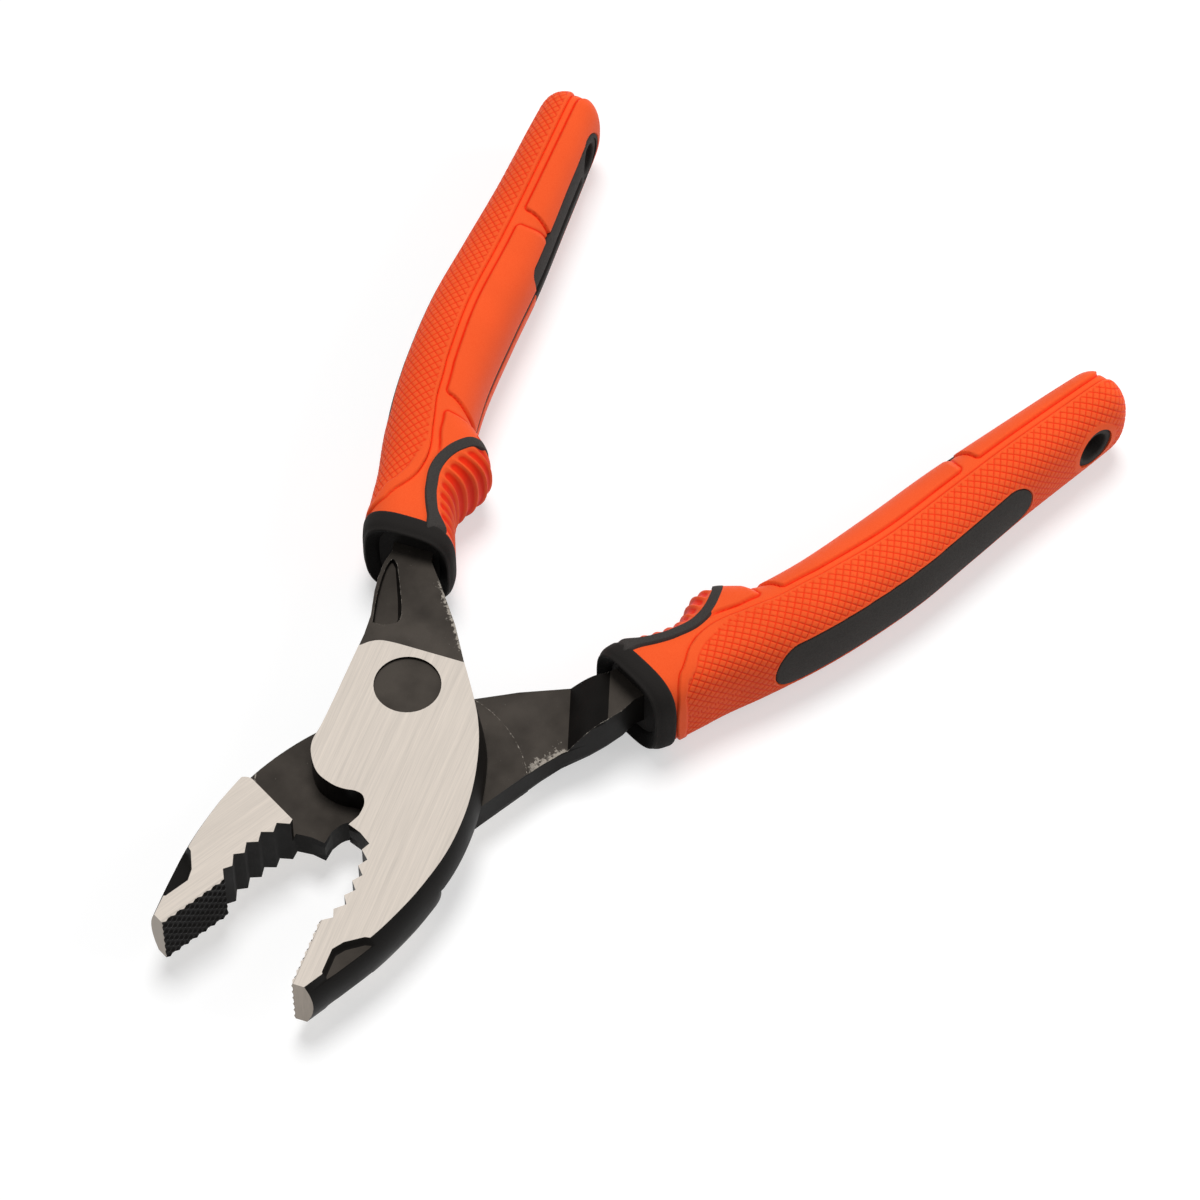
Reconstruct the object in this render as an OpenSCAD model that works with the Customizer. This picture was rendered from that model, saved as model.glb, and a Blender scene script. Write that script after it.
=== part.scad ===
// Slip joint pliers, drawn at the opening in which they lie on a table.
// X runs from the jaws to the handles, Y from the lower to the upper lever, Z up.
// The origin is on the pivot axis, in the flat foot of the pivot nut.

/* [Jaws] */
// Distance from the pivot to the jaw tips, along the closed jaw line
jaw_reach = 48; // [44:0.5:54]
// Distance of the closed jaw line from the pivot
jaw_offset = 5.1; // [4.4:0.1:5.8]
// Depth of a jaw behind the jaw line at its widest
jaw_depth = 16; // [14:0.5:18]
// Thickness of a jaw
jaw_thickness = 11.2; // [10:0.2:13]
// Distance from the pivot to the wall where a jaw thins to its lap
jaw_root = 18; // [17:0.5:20]
// Radius of the rounded back corner at that wall
root_round = 2; // [1.2:0.1:2.6]
// Width of the blunt jaw tip
tip_width = 2.5; // [2:0.1:3.5]
// Distance from the pivot to the inner end of the flat jaw nose
bite_start = 34.5; // [32:0.5:37]
// Distance from the pivot to the lip of the wire shear
bite_end = 15.2; // [14.5:0.1:16]
// Depth of the hollow pipe bite
bite_depth = 3.2; // [2.6:0.1:3.8]
// Number of coarse teeth in the pipe bite
coarse_teeth = 6; // [4:1:8]
// Height of the coarse teeth
coarse_height = 1.3; // [0.8:0.1:1.8]
// Number of fine teeth on the flat nose
fine_teeth = 7; // [5:1:13]
// Height of the fine teeth
fine_height = 0.4; // [0.2:0.05:0.5]
// Height of the wire shear's lip over the jaw line
shear_rise = 2; // [1.4:0.1:2.4]
// Depth of the sunk pockets behind the jaw tips
pocket_depth = 1.6; // [1:0.1:2.2]

/* [Plate and neck] */
// Distance from the pivot to the front edge of the lapped plate
plate_front = 8; // [7.2:0.1:8.8]
// Distance from the pivot to the top edge of the lapped plate
plate_rise = 9.2; // [8.4:0.1:10]
// Distance from the pivot to the end of the ground plate
plate_end = 24; // [23:0.5:26]
// Running gap between the two lapped plates
lap_gap = 0.12; // [0.08:0.01:0.2]
// Radius of the turned lap face
lap_radius = 24; // [23:0.1:25]
// Step from the turned lap face to the forged neck
lap_step = 0.4; // [0.3:0.05:0.6]
// Diameter of the round dish in the plate
dish_diameter = 12; // [10:0.5:13]
// Depth of the round dish
dish_depth = 0.6; // [0.4:0.1:1]
// Distance of the dish from the pivot along the lever
dish_reach = 16.2; // [15.6:0.1:17]
// Width of the neck where it enters the grip
neck_width = 7.6; // [7:0.1:8.2]
// Distance of the neck's middle from the pivot line where it enters the grip
neck_lift = 7.4; // [7:0.1:8]
// Length of the ramp from the lap down to the tang's underside
ramp_run = 6.2; // [5:0.2:8]
// Thickness of the tang
tang_thickness = 7.6; // [7:0.2:8.2]
// Length of the tang inside the grip
tang_length = 84; // [70:1:88]
// Width of the tang at its end
tang_end_width = 5; // [4:0.1:6]
// Depth of the pocket forged into the neck
neck_pocket_depth = 1.6; // [0.8:0.1:2]
// Run of the neck pocket's sloping walls
neck_pocket_slope = 1.1; // [0.5:0.1:1.4]

/* [Pivot] */
// Opening between the jaw lines at rest, in degrees
open_angle = 30; // [26:1:32]
// Diameter of the pivot stud
stud_diameter = 8; // [7:0.1:8.4]
// Width across the flats of the stud
stud_flats = 4.8; // [4.4:0.1:5]
// Distance between the two holes of the slip slot
slip_pitch = 6.2; // [5.8:0.1:6.6]
// Direction of the slip slot from the jaw line, in degrees
slip_angle = 80; // [74:1:86]
// Depth to which the stud is set into the upper lever
stud_seat = 4.2; // [3.4:0.1:4.6]
// Radial running clearance of the stud
stud_clearance = 0.05; // [0.02:0.01:0.1]
// Diameter of the washer
washer_diameter = 17; // [15:0.5:18]
// Thickness of the washer
washer_thickness = 1; // [0.8:0.1:1.4]
// Width across the flats of the nut
nut_flats = 13; // [12:0.5:14]
// Diameter of the stud's threaded end
thread_diameter = 6; // [5:0.1:6.6]
// Thickness of the nut's closed foot
nut_foot = 0.8; // [0.6:0.1:1.2]

/* [Grip] */
// Distance from the pivot to the front of the grip collar
grip_start = 44; // [43:0.5:47]
// Length of a grip
grip_length = 113.5; // [105:0.5:125]
// Width of a grip at its palm swell
grip_width = 17.2; // [16:0.2:19]
// Height of a grip
grip_height = 20.4; // [19:0.2:22]
// Distance of the grip's middle from the pivot line at the palm swell
grip_bow = 16.7; // [15.5:0.1:18]
// Length of the rounded grip end
grip_cap = 6; // [5:0.5:9]
// Thickness of the grip's outer mouldings
skin_thickness = 2.2; // [1.8:0.1:2.6]
// Length of the collar
collar_length = 4; // [3.5:0.1:5]
// Height of the finger guard
guard_height = 5; // [3.5:0.1:6]
// Distance from the collar front to the tip of the finger guard
guard_reach = 24; // [22:0.5:26]
// Width of the dark band round the thumb pad
band_width = 2.2; // [1.6:0.1:2.6]
// Number of ribs on the thumb pad
rib_count = 6; // [4:1:8]
// Height of the ribs on the thumb pad
rib_height = 0.5; // [0.3:0.1:0.7]
// Distance from the collar front to the outer inlay
inlay_start = 24; // [20:0.5:26]
// Length of the outer inlay
inlay_length = 62; // [56:1:70]
// Height of the outer inlay
inlay_height = 11; // [9:0.5:12]
// Distance from the grip's end to the start of the inner strip inlay
strip_start = 45.5; // [40:0.5:52]
// Height of the inner strip inlay
strip_height = 9.8; // [8:0.2:10.6]
// Distance from the grip's end to the hang hole
hang_inset = 10.8; // [10.4:0.2:12]
// Outer diameter of the hang hole's bush
bush_diameter = 8.4; // [7:0.2:9]
// Bore of the hang hole
hang_bore = 6; // [5:0.2:6.6]
// Depth of the bush's ends below the grip's sides
bush_inset = 0.6; // [0.3:0.1:1]
// Clearance between the pieces of a grip
grip_clearance = 0.05; // [0.02:0.01:0.1]

/* [Hidden] */
$fn = 64;

// Colours of the finishes
ground_steel = [0.80, 0.77, 0.73];
bright_steel = [0.62, 0.62, 0.62];
dark_plastic = [0.13, 0.13, 0.13];
orange_plastic = [0.95, 0.28, 0.12];

// Overrun of cuts past the faces that they open
overrun = 1;
// Height of the tool's mid-plane over the table
mid_height = grip_height / 2;
jaw_half = jaw_thickness / 2;
tang_half = tang_thickness / 2;
lap_half = lap_gap / 2;
lever_length = jaw_reach + grip_start + grip_length;

// Smooth curve through a list of points, with a number of steps for each span
curve_steps = 5;
function curve_point(p, i, t) =
    let (
        n = len(p) - 1,
        a = p[max(i - 1, 0)],
        b = p[i],
        c = p[i + 1],
        d = p[min(i + 2, n)]
    )
    (2 * b + (c - a) * t + (2 * a - 5 * b + 4 * c - d) * t * t
        + (3 * b - a - 3 * c + d) * t * t * t) / 2;
function curve(p) = [
    for (i = [0 : len(p) - 2], k = [0 : curve_steps - 1]) curve_point(p, i, k / curve_steps),
    p[len(p) - 1]
];
// Value of a smooth curve of [place, value] points at a place
function curve_span(p, x, i = 0) =
    i >= len(p) - 2 || x < p[i + 1][0] ? i : curve_span(p, x, i + 1);
function curve_value(p, x) =
    let (
        i = curve_span(p, x),
        t = max(0, min(1, (x - p[i][0]) / (p[i + 1][0] - p[i][0])))
    )
    curve_point([for (q = p) q[1]], i, t);
function between(a, b, share) = a + (b - a) * share;

// Middle line, width and height of a grip, in shares along its length
rise_shares = [
    [0, 0.515], [0.1, 0.68], [0.25, 0.875], [0.36, 0.975], [0.5, 1], [0.63, 0.965], [0.76, 0.945],
    [1, 0.945]
];
width_shares = [
    [0, 0.98], [0.035, 1.03], [0.11, 0.94], [0.25, 0.97], [0.36, 0.975], [0.5, 1], [0.63, 0.95],
    [0.76, 0.84], [0.89, 0.77], [1, 0.7]
];
height_shares = [
    [0, 0.95], [0.035, 0.996], [0.1, 1], [0.18, 1], [0.25, 0.997], [0.4, 0.98], [0.6, 0.93],
    [0.76, 0.935], [0.93, 0.9], [1, 0.87]
];
function grip_share(s) = max(0, min(1, s / grip_length));
function grip_rise(s) = grip_bow * curve_value(rise_shares, grip_share(s));
function grip_half_width(s) = grip_width / 2 * curve_value(width_shares, grip_share(s));
function grip_half_height(s) = grip_height / 2 * curve_value(height_shares, grip_share(s));

// Outline of a lever, in its own frame: jaw line along X, own handle on +Y

// Flat nose with its fine teeth, from the tip inwards
fine_pitch = (jaw_reach - bite_start) / fine_teeth;
nose_points = [
    for (i = [0 : 2 * fine_teeth])
        [-jaw_reach + i * fine_pitch / 2, -jaw_offset - (i % 2) * fine_height]
];
// Hollow bite with its coarse teeth
function bite_line(u) = -jaw_offset - bite_depth * sqrt(max(0, 1 - pow(2 * u - 1, 2)));
tooth_shares = [0.35, 0.85];
bite_points = [
    for (k = [0 : coarse_teeth - 1], edge = [0, 1])
        let (u = (k + tooth_shares[edge]) / coarse_teeth)
        [between(-bite_start, -bite_end, u), bite_line(u) + (edge - 0.5) * coarse_height]
];
// Lip and notch of the wire shear, in shares of the lip's place and of its height
shear_top = shear_rise - jaw_offset;
shear_shares = [[0.97, 0.96], [0.82, 1.28], [0.66, 1.3]];
shear_points = [for (s = shear_shares) [-bite_end * s[0], shear_top * s[1]]];
// Front and top edge of the plate, in shares of its front and its rise
plate_shares = [
    [-1.04, -0.34], [-0.98, -0.17], [-1.01, 0.05], [-0.98, 0.31], [-0.8, 0.66], [-0.42, 0.91],
    [-0.05, 1.01], [0.45, 0.98], [1.3, 0.97]
];
front_points = [for (s = plate_shares) [plate_front * s[0], plate_rise * s[1]]];
throat_points = concat([shear_points[1], shear_points[2]], front_points);
// Back of the plate and jaw, in shares of the plate's length, the reach and the jaw's depth
function behind(share) = -jaw_offset - jaw_depth * share;
plate_back_shares = [[1, 0.306], [0.746, 0.55], [0.54, 0.72], [0.31, 0.85], [0.01, 0.957]];
jaw_back_shares = [
    [0.146, 1.005], [0.308, 0.985], [0.475, 0.88], [0.604, 0.756], [0.723, 0.61], [0.855, 0.4]
];
back_points = concat(
    [for (s = plate_back_shares) [plate_end * s[0], behind(s[1])]],
    [for (s = jaw_back_shares) [-jaw_reach * s[0], behind(s[1])]],
    [[-jaw_reach, -jaw_offset - tip_width]]
);
// Upper and lower edge of the neck, in shares of its run and of the heights at its ends
neck_top_shares = [[0, 0], [0.23, 0.21], [0.5, 0.82], [0.67, 1.06], [0.85, 1.17]];
neck_low_shares = [[0.75, 0.72], [0.38, 0.33]];
plate_top_y = plate_rise * plate_shares[8][1];
plate_low_y = behind(plate_back_shares[0][1]);
neck_top_points = [
    for (s = neck_top_shares)
        [between(plate_end, grip_start, s[0]), between(plate_top_y, neck_lift + neck_width / 2, s[1])]
];
neck_low_points = [
    for (s = neck_low_shares)
        [between(plate_end, grip_start, s[0]), between(plate_low_y, neck_lift - neck_width / 2, s[1])]
];
// The tang runs from the neck into the middle line of the grip
tang_steps = 16;
tang_start_offset = neck_lift - grip_rise(0);
function tang_middle(s) = grip_rise(s) + tang_start_offset * (1 - s / tang_length);
function tang_width(s) = between(neck_width, tang_end_width, s / tang_length);
function tang_edge(side, clear) = [
    for (i = [0 : tang_steps])
        let (s = (tang_length + clear) * i / tang_steps)
        [grip_start + s, tang_middle(s) + side * (tang_width(s) / 2 + clear)]
];
function backwards(p) = [for (i = [len(p) - 1 : -1 : 0]) p[i]];
lever_outline = concat(
    nose_points, bite_points, [shear_points[0]], curve(throat_points), neck_top_points,
    tang_edge(1, 0), backwards(tang_edge(-1, 0)), neck_low_points, curve(back_points)
);

// Sunk pocket behind the tip, in shares of the reach and of the jaw's depth
pocket_shares = [[0.725, 0.7], [0.735, 0.54], [0.78, 0.35], [0.82, 0.265], [0.92, 0.265], [0.98, 0.4]];
pocket_outline = [for (s = pocket_shares) [-jaw_reach * s[0], behind(s[1])]];
// Pocket in the neck, in shares of the neck's run and of its width
neck_pocket_shares = [
    [0.93, 0.29], [0.875, 0.145], [0.71, -0.05], [0.51, -0.28], [0.335, -0.45], [0.265, -0.46],
    [0.215, -0.41], [0.155, -0.145], [0.15, 0.15], [0.32, 0.27], [0.51, 0.38], [0.67, 0.44],
    [0.81, 0.47], [0.89, 0.45], [0.935, 0.39]
];
neck_pocket_outline = [
    for (s = neck_pocket_shares)
        [between(plate_end, grip_start, s[0]), neck_lift + neck_width * s[1]]
];
dish_drop_share = 0.24;
dish_place = [dish_reach, -plate_rise * dish_drop_share];

// Holes of the slip slot, in the lower lever's own frame
slip_holes = [
    [0, -2 * jaw_offset],
    [slip_pitch * cos(slip_angle), slip_pitch * sin(slip_angle) - 2 * jaw_offset]
];
// Direction of the slip slot as the tool lies
slip_heading = -slip_angle - open_angle / 2;
stud_radius = stud_diameter / 2;
thread_radius = thread_diameter / 2;

// Heights over the mid-plane of the pivot's pieces
washer_top = -jaw_half - stud_clearance;
washer_foot = washer_top - washer_thickness;
nut_top = washer_foot - stud_clearance;

// Underside of a lever: lap, ramp and tang, across the neck's slant
ramp_angle = 43;
ramp_steps = 8;
ramp_end = grip_start * cos(ramp_angle) + (neck_lift - neck_width / 2) * sin(ramp_angle);
ramp_start = ramp_end - ramp_run;
ramp_curve = [
    for (i = [0 : ramp_steps])
        let (u = i / ramp_steps)
        [ramp_start + ramp_run * u, between(lap_step, -tang_half, sin(90 * u))]
];

// Prism of a side profile, drawn in [distance, height], across a direction
module across(angle, profile) {
    rotate([0, 0, angle])
        translate([0, lever_length, 0])
            rotate([90, 0, 0])
                linear_extrude(2 * lever_length)
                    polygon(profile);
}

module below_lap() {
    floor_z = -jaw_half - overrun;
    intersection() {
        translate([-jaw_root, -lever_length, floor_z])
            cube([2 * lever_length, 2 * lever_length, jaw_thickness]);
        across(ramp_angle, concat(
            [[-lever_length, floor_z], [-lever_length, lap_half], [ramp_start, lap_half]],
            ramp_curve,
            [[lever_length, -tang_half], [lever_length, floor_z]]
        ));
    }
}

// The back corner of the jaw's root is rounded where the lap ends
root_back_share = 0.945;
module lap_corner() {
    corner = [-jaw_root - root_round, behind(root_back_share) + root_round];
    translate([0, 0, -jaw_half - overrun])
        linear_extrude(jaw_half + overrun + lap_half)
            difference() {
                translate([corner[0], corner[1] - 2 * root_round])
                    square([2 * root_round, 2 * root_round]);
                translate(corner)
                    circle(r = root_round);
            }
}

// The neck pocket's wall is steep on the upper side and slopes on the lower one
pocket_lean_share = 0.42;
module neck_pocket() {
    foot = tang_half - neck_pocket_depth / 2;
    lean = neck_pocket_slope * pocket_lean_share;
    hull() {
        translate([0, lean, foot])
            linear_extrude(overrun)
                offset(delta = lean - neck_pocket_slope)
                    polygon(neck_pocket_outline);
        translate([0, 0, jaw_half])
            linear_extrude(overrun)
                polygon(neck_pocket_outline);
    }
}

// The forged neck lies a step off the turned lap face
module behind_lap_face() {
    difference() {
        intersection() {
            translate([0, -lever_length, -jaw_half - overrun])
                cube([lever_length, 2 * lever_length, jaw_half + overrun + lap_step]);
            across(ramp_angle, [
                [-lever_length, -jaw_half - overrun], [-lever_length, jaw_half],
                [ramp_start, jaw_half], [ramp_start, -jaw_half - overrun]
            ]);
        }
        translate([slip_holes[1][0], slip_holes[1][1], -jaw_thickness])
            cylinder(r = lap_radius, h = 2 * jaw_thickness);
    }
}

// The neck falls from the ground plate to the tang's upper face, and the plate's end curves at its top
neck_drop_share = 0.04;
plate_drop = jaw_half * (1 - neck_drop_share);
grind_shares = [[1, 0.2], [0.988, 0.58], [0.95, 0.79], [0.9, 0.93], [0.85, 1.1]];
grind_points = [for (s = grind_shares) [plate_end * s[0], plate_rise * s[1]]];
module above_neck() {
    across(0, [
        [plate_end, jaw_half + overrun], [plate_end, plate_drop],
        [grip_start, tang_half], [lever_length, tang_half], [lever_length, jaw_half + overrun]
    ]);
    translate([0, 0, plate_drop])
        linear_extrude(jaw_half)
            polygon(concat(curve(grind_points), [[plate_end + overrun, grind_points[4][1]],
                [plate_end + overrun, grind_points[0][1]]]));
}

module lever_blank() {
    difference() {
        translate([0, 0, -jaw_half])
            linear_extrude(jaw_thickness)
                polygon(lever_outline);
        below_lap();
        lap_corner();
        behind_lap_face();
        above_neck();
        for (face = [0, 1])
            mirror([0, 0, face])
                translate([0, 0, jaw_half - pocket_depth])
                    linear_extrude(pocket_depth + overrun)
                        polygon(pocket_outline);
        translate([dish_place[0], dish_place[1], jaw_half - dish_depth])
            cylinder(d = dish_diameter, h = dish_depth + overrun);
        neck_pocket();
        hang_hole(bush_diameter + 2 * grip_clearance, grip_width);
    }
}

// Frames of the two levers: the lower one is turned over about the jaw line
module upper_frame() {
    translate([0, 0, mid_height])
        rotate([0, 0, open_angle / 2])
            children();
}

module lower_frame() {
    translate([0, 0, mid_height])
        rotate([0, 0, -open_angle / 2])
            translate([0, -2 * jaw_offset, 0])
                rotate([180, 0, 0])
                    children();
}

module upper_lever() {
    color(ground_steel)
        upper_frame()
            difference() {
                lever_blank();
                translate([0, 0, -overrun])
                    cylinder(r = stud_radius + stud_clearance, h = stud_seat + overrun);
            }
}

module slip_slot() {
    neck_half = stud_flats / 2 + stud_clearance;
    for (hole = slip_holes)
        translate([hole[0], hole[1], -overrun])
            cylinder(r = stud_radius + stud_clearance, h = jaw_half + 2 * overrun);
    translate([slip_holes[0][0], slip_holes[0][1], -overrun])
        rotate([0, 0, slip_angle])
            translate([0, -neck_half, 0])
                cube([slip_pitch, 2 * neck_half, jaw_half + 2 * overrun]);
}

module lower_lever() {
    color(ground_steel)
        lower_frame()
            difference() {
                lever_blank();
                slip_slot();
            }
}

// Stud: set in the upper lever, flattened through the slot, threaded for the nut
module pivot_stud() {
    color(bright_steel)
        translate([0, 0, mid_height]) {
            cylinder(r = stud_radius, h = stud_seat - stud_clearance);
            intersection() {
                translate([0, 0, -jaw_half])
                    cylinder(r = stud_radius, h = jaw_half);
                rotate([0, 0, slip_heading])
                    translate([-stud_radius, -stud_flats / 2, -jaw_half])
                        cube([stud_diameter, stud_flats, jaw_half]);
            }
            translate([0, 0, nut_top])
                cylinder(r = stud_radius, h = -nut_top - jaw_half);
            translate([0, 0, -mid_height + nut_foot + stud_clearance])
                cylinder(r = thread_radius, h = mid_height + nut_top - nut_foot - stud_clearance);
        }
}

module pivot_washer() {
    color(bright_steel)
        translate([0, 0, mid_height + washer_foot])
            difference() {
                cylinder(d = washer_diameter, h = washer_thickness);
                translate([0, 0, -overrun])
                    cylinder(r = stud_radius + stud_clearance, h = washer_thickness + 2 * overrun);
            }
}

module pivot_nut() {
    color(bright_steel)
        difference() {
            cylinder(d = nut_flats / cos(30), h = mid_height + nut_top, $fn = 6);
            translate([0, 0, nut_foot])
                cylinder(r = thread_radius + stud_clearance, h = mid_height);
        }
}

// Surface of a grip, by the distance behind the collar front and the angle from its outer side

// The guard swells the inner side, with a longer front than back
guard_front_share = 0.42;
guard_back_share = 0.36;
function guard_swell(s) =
    let (
        d = s - guard_reach,
        w = guard_reach * (d < 0 ? guard_front_share : guard_back_share)
    )
    abs(d) > w ? 0 : guard_height * (1 + cos(180 * d / w)) / 2;
// Rounding of the collar's front and of the grip's end
cap_start = grip_length - grip_cap;
collar_round = collar_length / 2;
collar_lip_share = 0.9;
cap_closing_share = 0.9999;
cap_power = 2.6;
function end_scale(s) =
    s > cap_start
        ? pow(1 - pow(cap_closing_share * (s - cap_start) / grip_cap, cap_power), 1 / cap_power)
    : s < collar_round ? between(collar_lip_share, 1, sin(90 * s / collar_round))
    : 1;
// The section is a squarer oval at the collar than along the grip
collar_power = 3.2;
grip_power = 2.4;
function section_power(s) = between(collar_power, grip_power, max(0, min(1, s / guard_reach)));
function flatten(s, v) = sign(v) * pow(abs(v), 2 / section_power(s));
function unflatten(s, v) = sign(v) * pow(min(1, abs(v)), section_power(s) / 2);
function grip_point(s, angle, inset, bump) =
    let (
        k = end_scale(s),
        side = flatten(s, cos(angle)),
        reach = (grip_half_width(s) - inset) * k + (side < 0 ? guard_swell(s) + bump : 0),
        place = s < cap_start ? s : cap_start + (s - cap_start) * (grip_cap - inset) / grip_cap
    )
    [
        grip_start + place,
        grip_rise(s) + reach * side,
        (grip_half_height(s) - inset) * k * flatten(s, sin(angle))
    ];

// Lines round the grip where its mouldings meet, as angles from its outer side
function height_angle(s, z) = asin(unflatten(s, z / grip_half_height(s)));
function side_angle(s, share) = acos(unflatten(s, share));
inlay_end = inlay_start + inlay_length;
inlay_least_share = 0.35;
function inlay_line(s) =
    let (d = max(0, min(1, 2 * min(s - inlay_start, inlay_end - s) / inlay_height)))
    height_angle(s, inlay_height / 2 * max(inlay_least_share, sqrt(1 - pow(1 - d, 2))));
// The outer skin starts behind the collar and reaches the top within the saddle
seam_start_share = 0.225;
seam_start = guard_reach * seam_start_share;
seam_shares = [
    [0, 0.95], [0.2, 0.88], [0.3, 0.62], [0.37, 0.44], [0.46, 0.15], [0.6, -0.08], [0.75, -0.17],
    [0.92, -0.15], [1.25, -0.12], [1.7, -0.08], [2.1, -0.03], [2.5, 0], [5, 0]
];
function seam_line(s) = side_angle(s, curve_value(seam_shares, s / guard_reach));
// The band runs from the collar over the thumb pad and round the guard's tip
pad_end_share = 1.12;
pad_end = guard_reach * pad_end_share;
band_end = pad_end + band_width;
band_shares = [
    [0, 0.6], [0.17, 0.48], [0.26, 0.38], [0.37, 0.33], [0.5, 0.31], [0.6, 0.3], [0.7, 0.33],
    [0.8, 0.4], [0.9, 0.54], [1, 0.74], [1.1, 0.86]
];
band_limit_share = 0.96;
function band_share(s) = curve_value(band_shares, s / pad_end);
function band_step(s) = band_width / (grip_half_width(s) + guard_swell(s));
function band_outer(s) = side_angle(s, -band_share(s));
function band_inner(s) = side_angle(s, -min(band_limit_share, band_share(s) + band_step(s)));
// Behind the guard the same two lines run on as the edges of the strip inlay
strip_front = grip_length - strip_start;
strip_end = grip_length - hang_inset;
strip_margin_share = 1.35;
function strip_inner(s) = 180 - height_angle(s, strip_height / 2);
function strip_outer(s) = 180 - height_angle(s, strip_height / 2 * strip_margin_share);
function past_band(s) = max(0, min(1, (s - band_end) / (strip_front - band_end)));
function outer_line(s) = between(band_outer(min(s, band_end)), strip_outer(s), past_band(s));
function inner_line(s) = between(band_inner(min(s, band_end)), strip_inner(s), past_band(s));

// Grid of places along the grip, sorted, and of lines round it
function sorted(p) =
    len(p) < 2 ? p
    : let (m = p[floor(len(p) / 2)])
        concat(
            sorted([for (v = p) if (v < m) v]), [m], sorted([for (v = p) if (v > m) v])
        );
rib_pitch = (pad_end - collar_length) / rib_count;
collar_shares = [0, 0.12, 0.3, 0.5, 1];
round_shares = [0, 0.12, 0.45, 1];
cap_shares = [0, 0.3, 0.55, 0.75, 0.88, 0.96, 1];
long_steps = 10;
all_places = sorted(concat(
    [for (u = collar_shares) collar_length * u],
    [for (i = [1 : 2 * rib_count]) collar_length + i * rib_pitch / 2],
    [seam_start, band_end, strip_front, strip_end],
    [for (u = round_shares, side = [0, 1])
        side == 0 ? inlay_start + inlay_height / 2 * u : inlay_end - inlay_height / 2 * u],
    [for (i = [1 : long_steps]) between(band_end, cap_start, i / (long_steps + 1))],
    [for (u = cap_shares) cap_start + grip_cap * u]
));
least_step_share = 0.03;
places = [
    for (i = [0 : len(all_places) - 1])
        if (i == 0 || i == len(all_places) - 1
            || all_places[i] - all_places[i - 1] > grip_cap * least_step_share)
            all_places[i]
];
column_count = len(places);
// Rows of cells from the outer to the inner side, in each moulding's share of the turn
inlay_rows = 2;
outer_rows = 3;
flank_rows = 3;
band_rows = 1;
pad_rows = 3;
function spread(a, b, n) = [for (i = [1 : n]) between(a, b, i / n)];
function half_angles(s) = concat(
    [0],
    spread(0, inlay_line(s), inlay_rows),
    spread(inlay_line(s), seam_line(s), outer_rows),
    spread(seam_line(s), outer_line(s), flank_rows),
    spread(outer_line(s), inner_line(s), band_rows),
    spread(inner_line(s), 180, pad_rows)
);
half_rows = inlay_rows + outer_rows + flank_rows + band_rows + pad_rows;
row_count = 2 * half_rows;
function row_angles(s) =
    let (h = half_angles(s))
    concat(h, [for (j = [half_rows - 1 : -1 : 1]) 360 - h[j]]);
seam_row = inlay_rows + outer_rows;
band_row = seam_row + flank_rows;
pad_row = band_row + band_rows;
// Row of a cell, counted from the outer side on either half
function half_row(j) = j < half_rows ? j : row_count - 1 - j;
// Ribs stand on the thumb pad alone
function rib(s, j) =
    s > collar_length && s < pad_end && j > pad_row && j < row_count - pad_row
        ? rib_height * (1 - cos(360 * (s - collar_length) / rib_pitch)) / 2
        : 0;
function grip_grid(inset, ribbed) = [
    for (s = places)
        let (angles = row_angles(s))
        for (j = [0 : row_count - 1]) grip_point(s, angles[j], inset, ribbed ? rib(s, j) : 0)
];

// Closed shell over the cells of the grid that belong to a moulding
function cell_middle(i) = (places[i] + places[i + 1]) / 2;
module moulding(belongs) {
    layer = column_count * row_count;
    function outer(i, j) = i * row_count + j % row_count;
    function inner(i, j) = layer + outer(i, j);
    function kept(i, j) =
        i >= 0 && i < column_count - 1
        && belongs(cell_middle(i), half_row((j + row_count) % row_count));
    function quad(a, b, c, d) = [[a, b, c], [a, c, d]];
    polyhedron(
        points = concat(grip_grid(0, true), grip_grid(skin_thickness, false)),
        faces = [
            for (i = [0 : column_count - 2], j = [0 : row_count - 1])
                if (kept(i, j))
                    each concat(
                        quad(outer(i, j), outer(i + 1, j), outer(i + 1, j + 1), outer(i, j + 1)),
                        quad(inner(i, j), inner(i, j + 1), inner(i + 1, j + 1), inner(i + 1, j)),
                        kept(i, j - 1) ? []
                            : quad(outer(i + 1, j), outer(i, j), inner(i, j), inner(i + 1, j)),
                        kept(i, j + 1) ? []
                            : quad(outer(i + 1, j + 1), inner(i + 1, j + 1), inner(i, j + 1), outer(i, j + 1)),
                        kept(i - 1, j) ? []
                            : quad(outer(i, j), outer(i, j + 1), inner(i, j + 1), inner(i, j)),
                        kept(i + 1, j) ? []
                            : quad(outer(i + 1, j), inner(i + 1, j), inner(i + 1, j + 1), outer(i + 1, j + 1))
                    )
        ],
        convexity = 6
    );
}

// Which cells belong to each moulding, by the place along the grip and the row
function in_collar(s, r) =
    s < collar_length || (s < band_end && r >= band_row && (r < pad_row || s > pad_end));
function in_pad(s, r) = s > collar_length && s < pad_end && r >= pad_row;
function in_inlay(s, r) = s > inlay_start && s < inlay_end && r < inlay_rows;
function in_outer(s, r) = s > seam_start && r < seam_row && !in_inlay(s, r);
function in_strip(s, r) = s > strip_front && s < strip_end && r >= pad_row;
function in_inner(s, r) =
    !in_collar(s, r) && !in_pad(s, r) && !in_inlay(s, r) && !in_outer(s, r) && !in_strip(s, r);

// The hang hole runs across the grip, from its outer to its inner side
hang_place = grip_length - hang_inset;
hang_half = grip_half_width(hang_place) - bush_inset;
module hang_hole(diameter, half_length) {
    translate([grip_start + hang_place, grip_rise(hang_place) + half_length, 0])
        rotate([90, 0, 0])
            cylinder(d = diameter, h = 2 * half_length);
}

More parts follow.
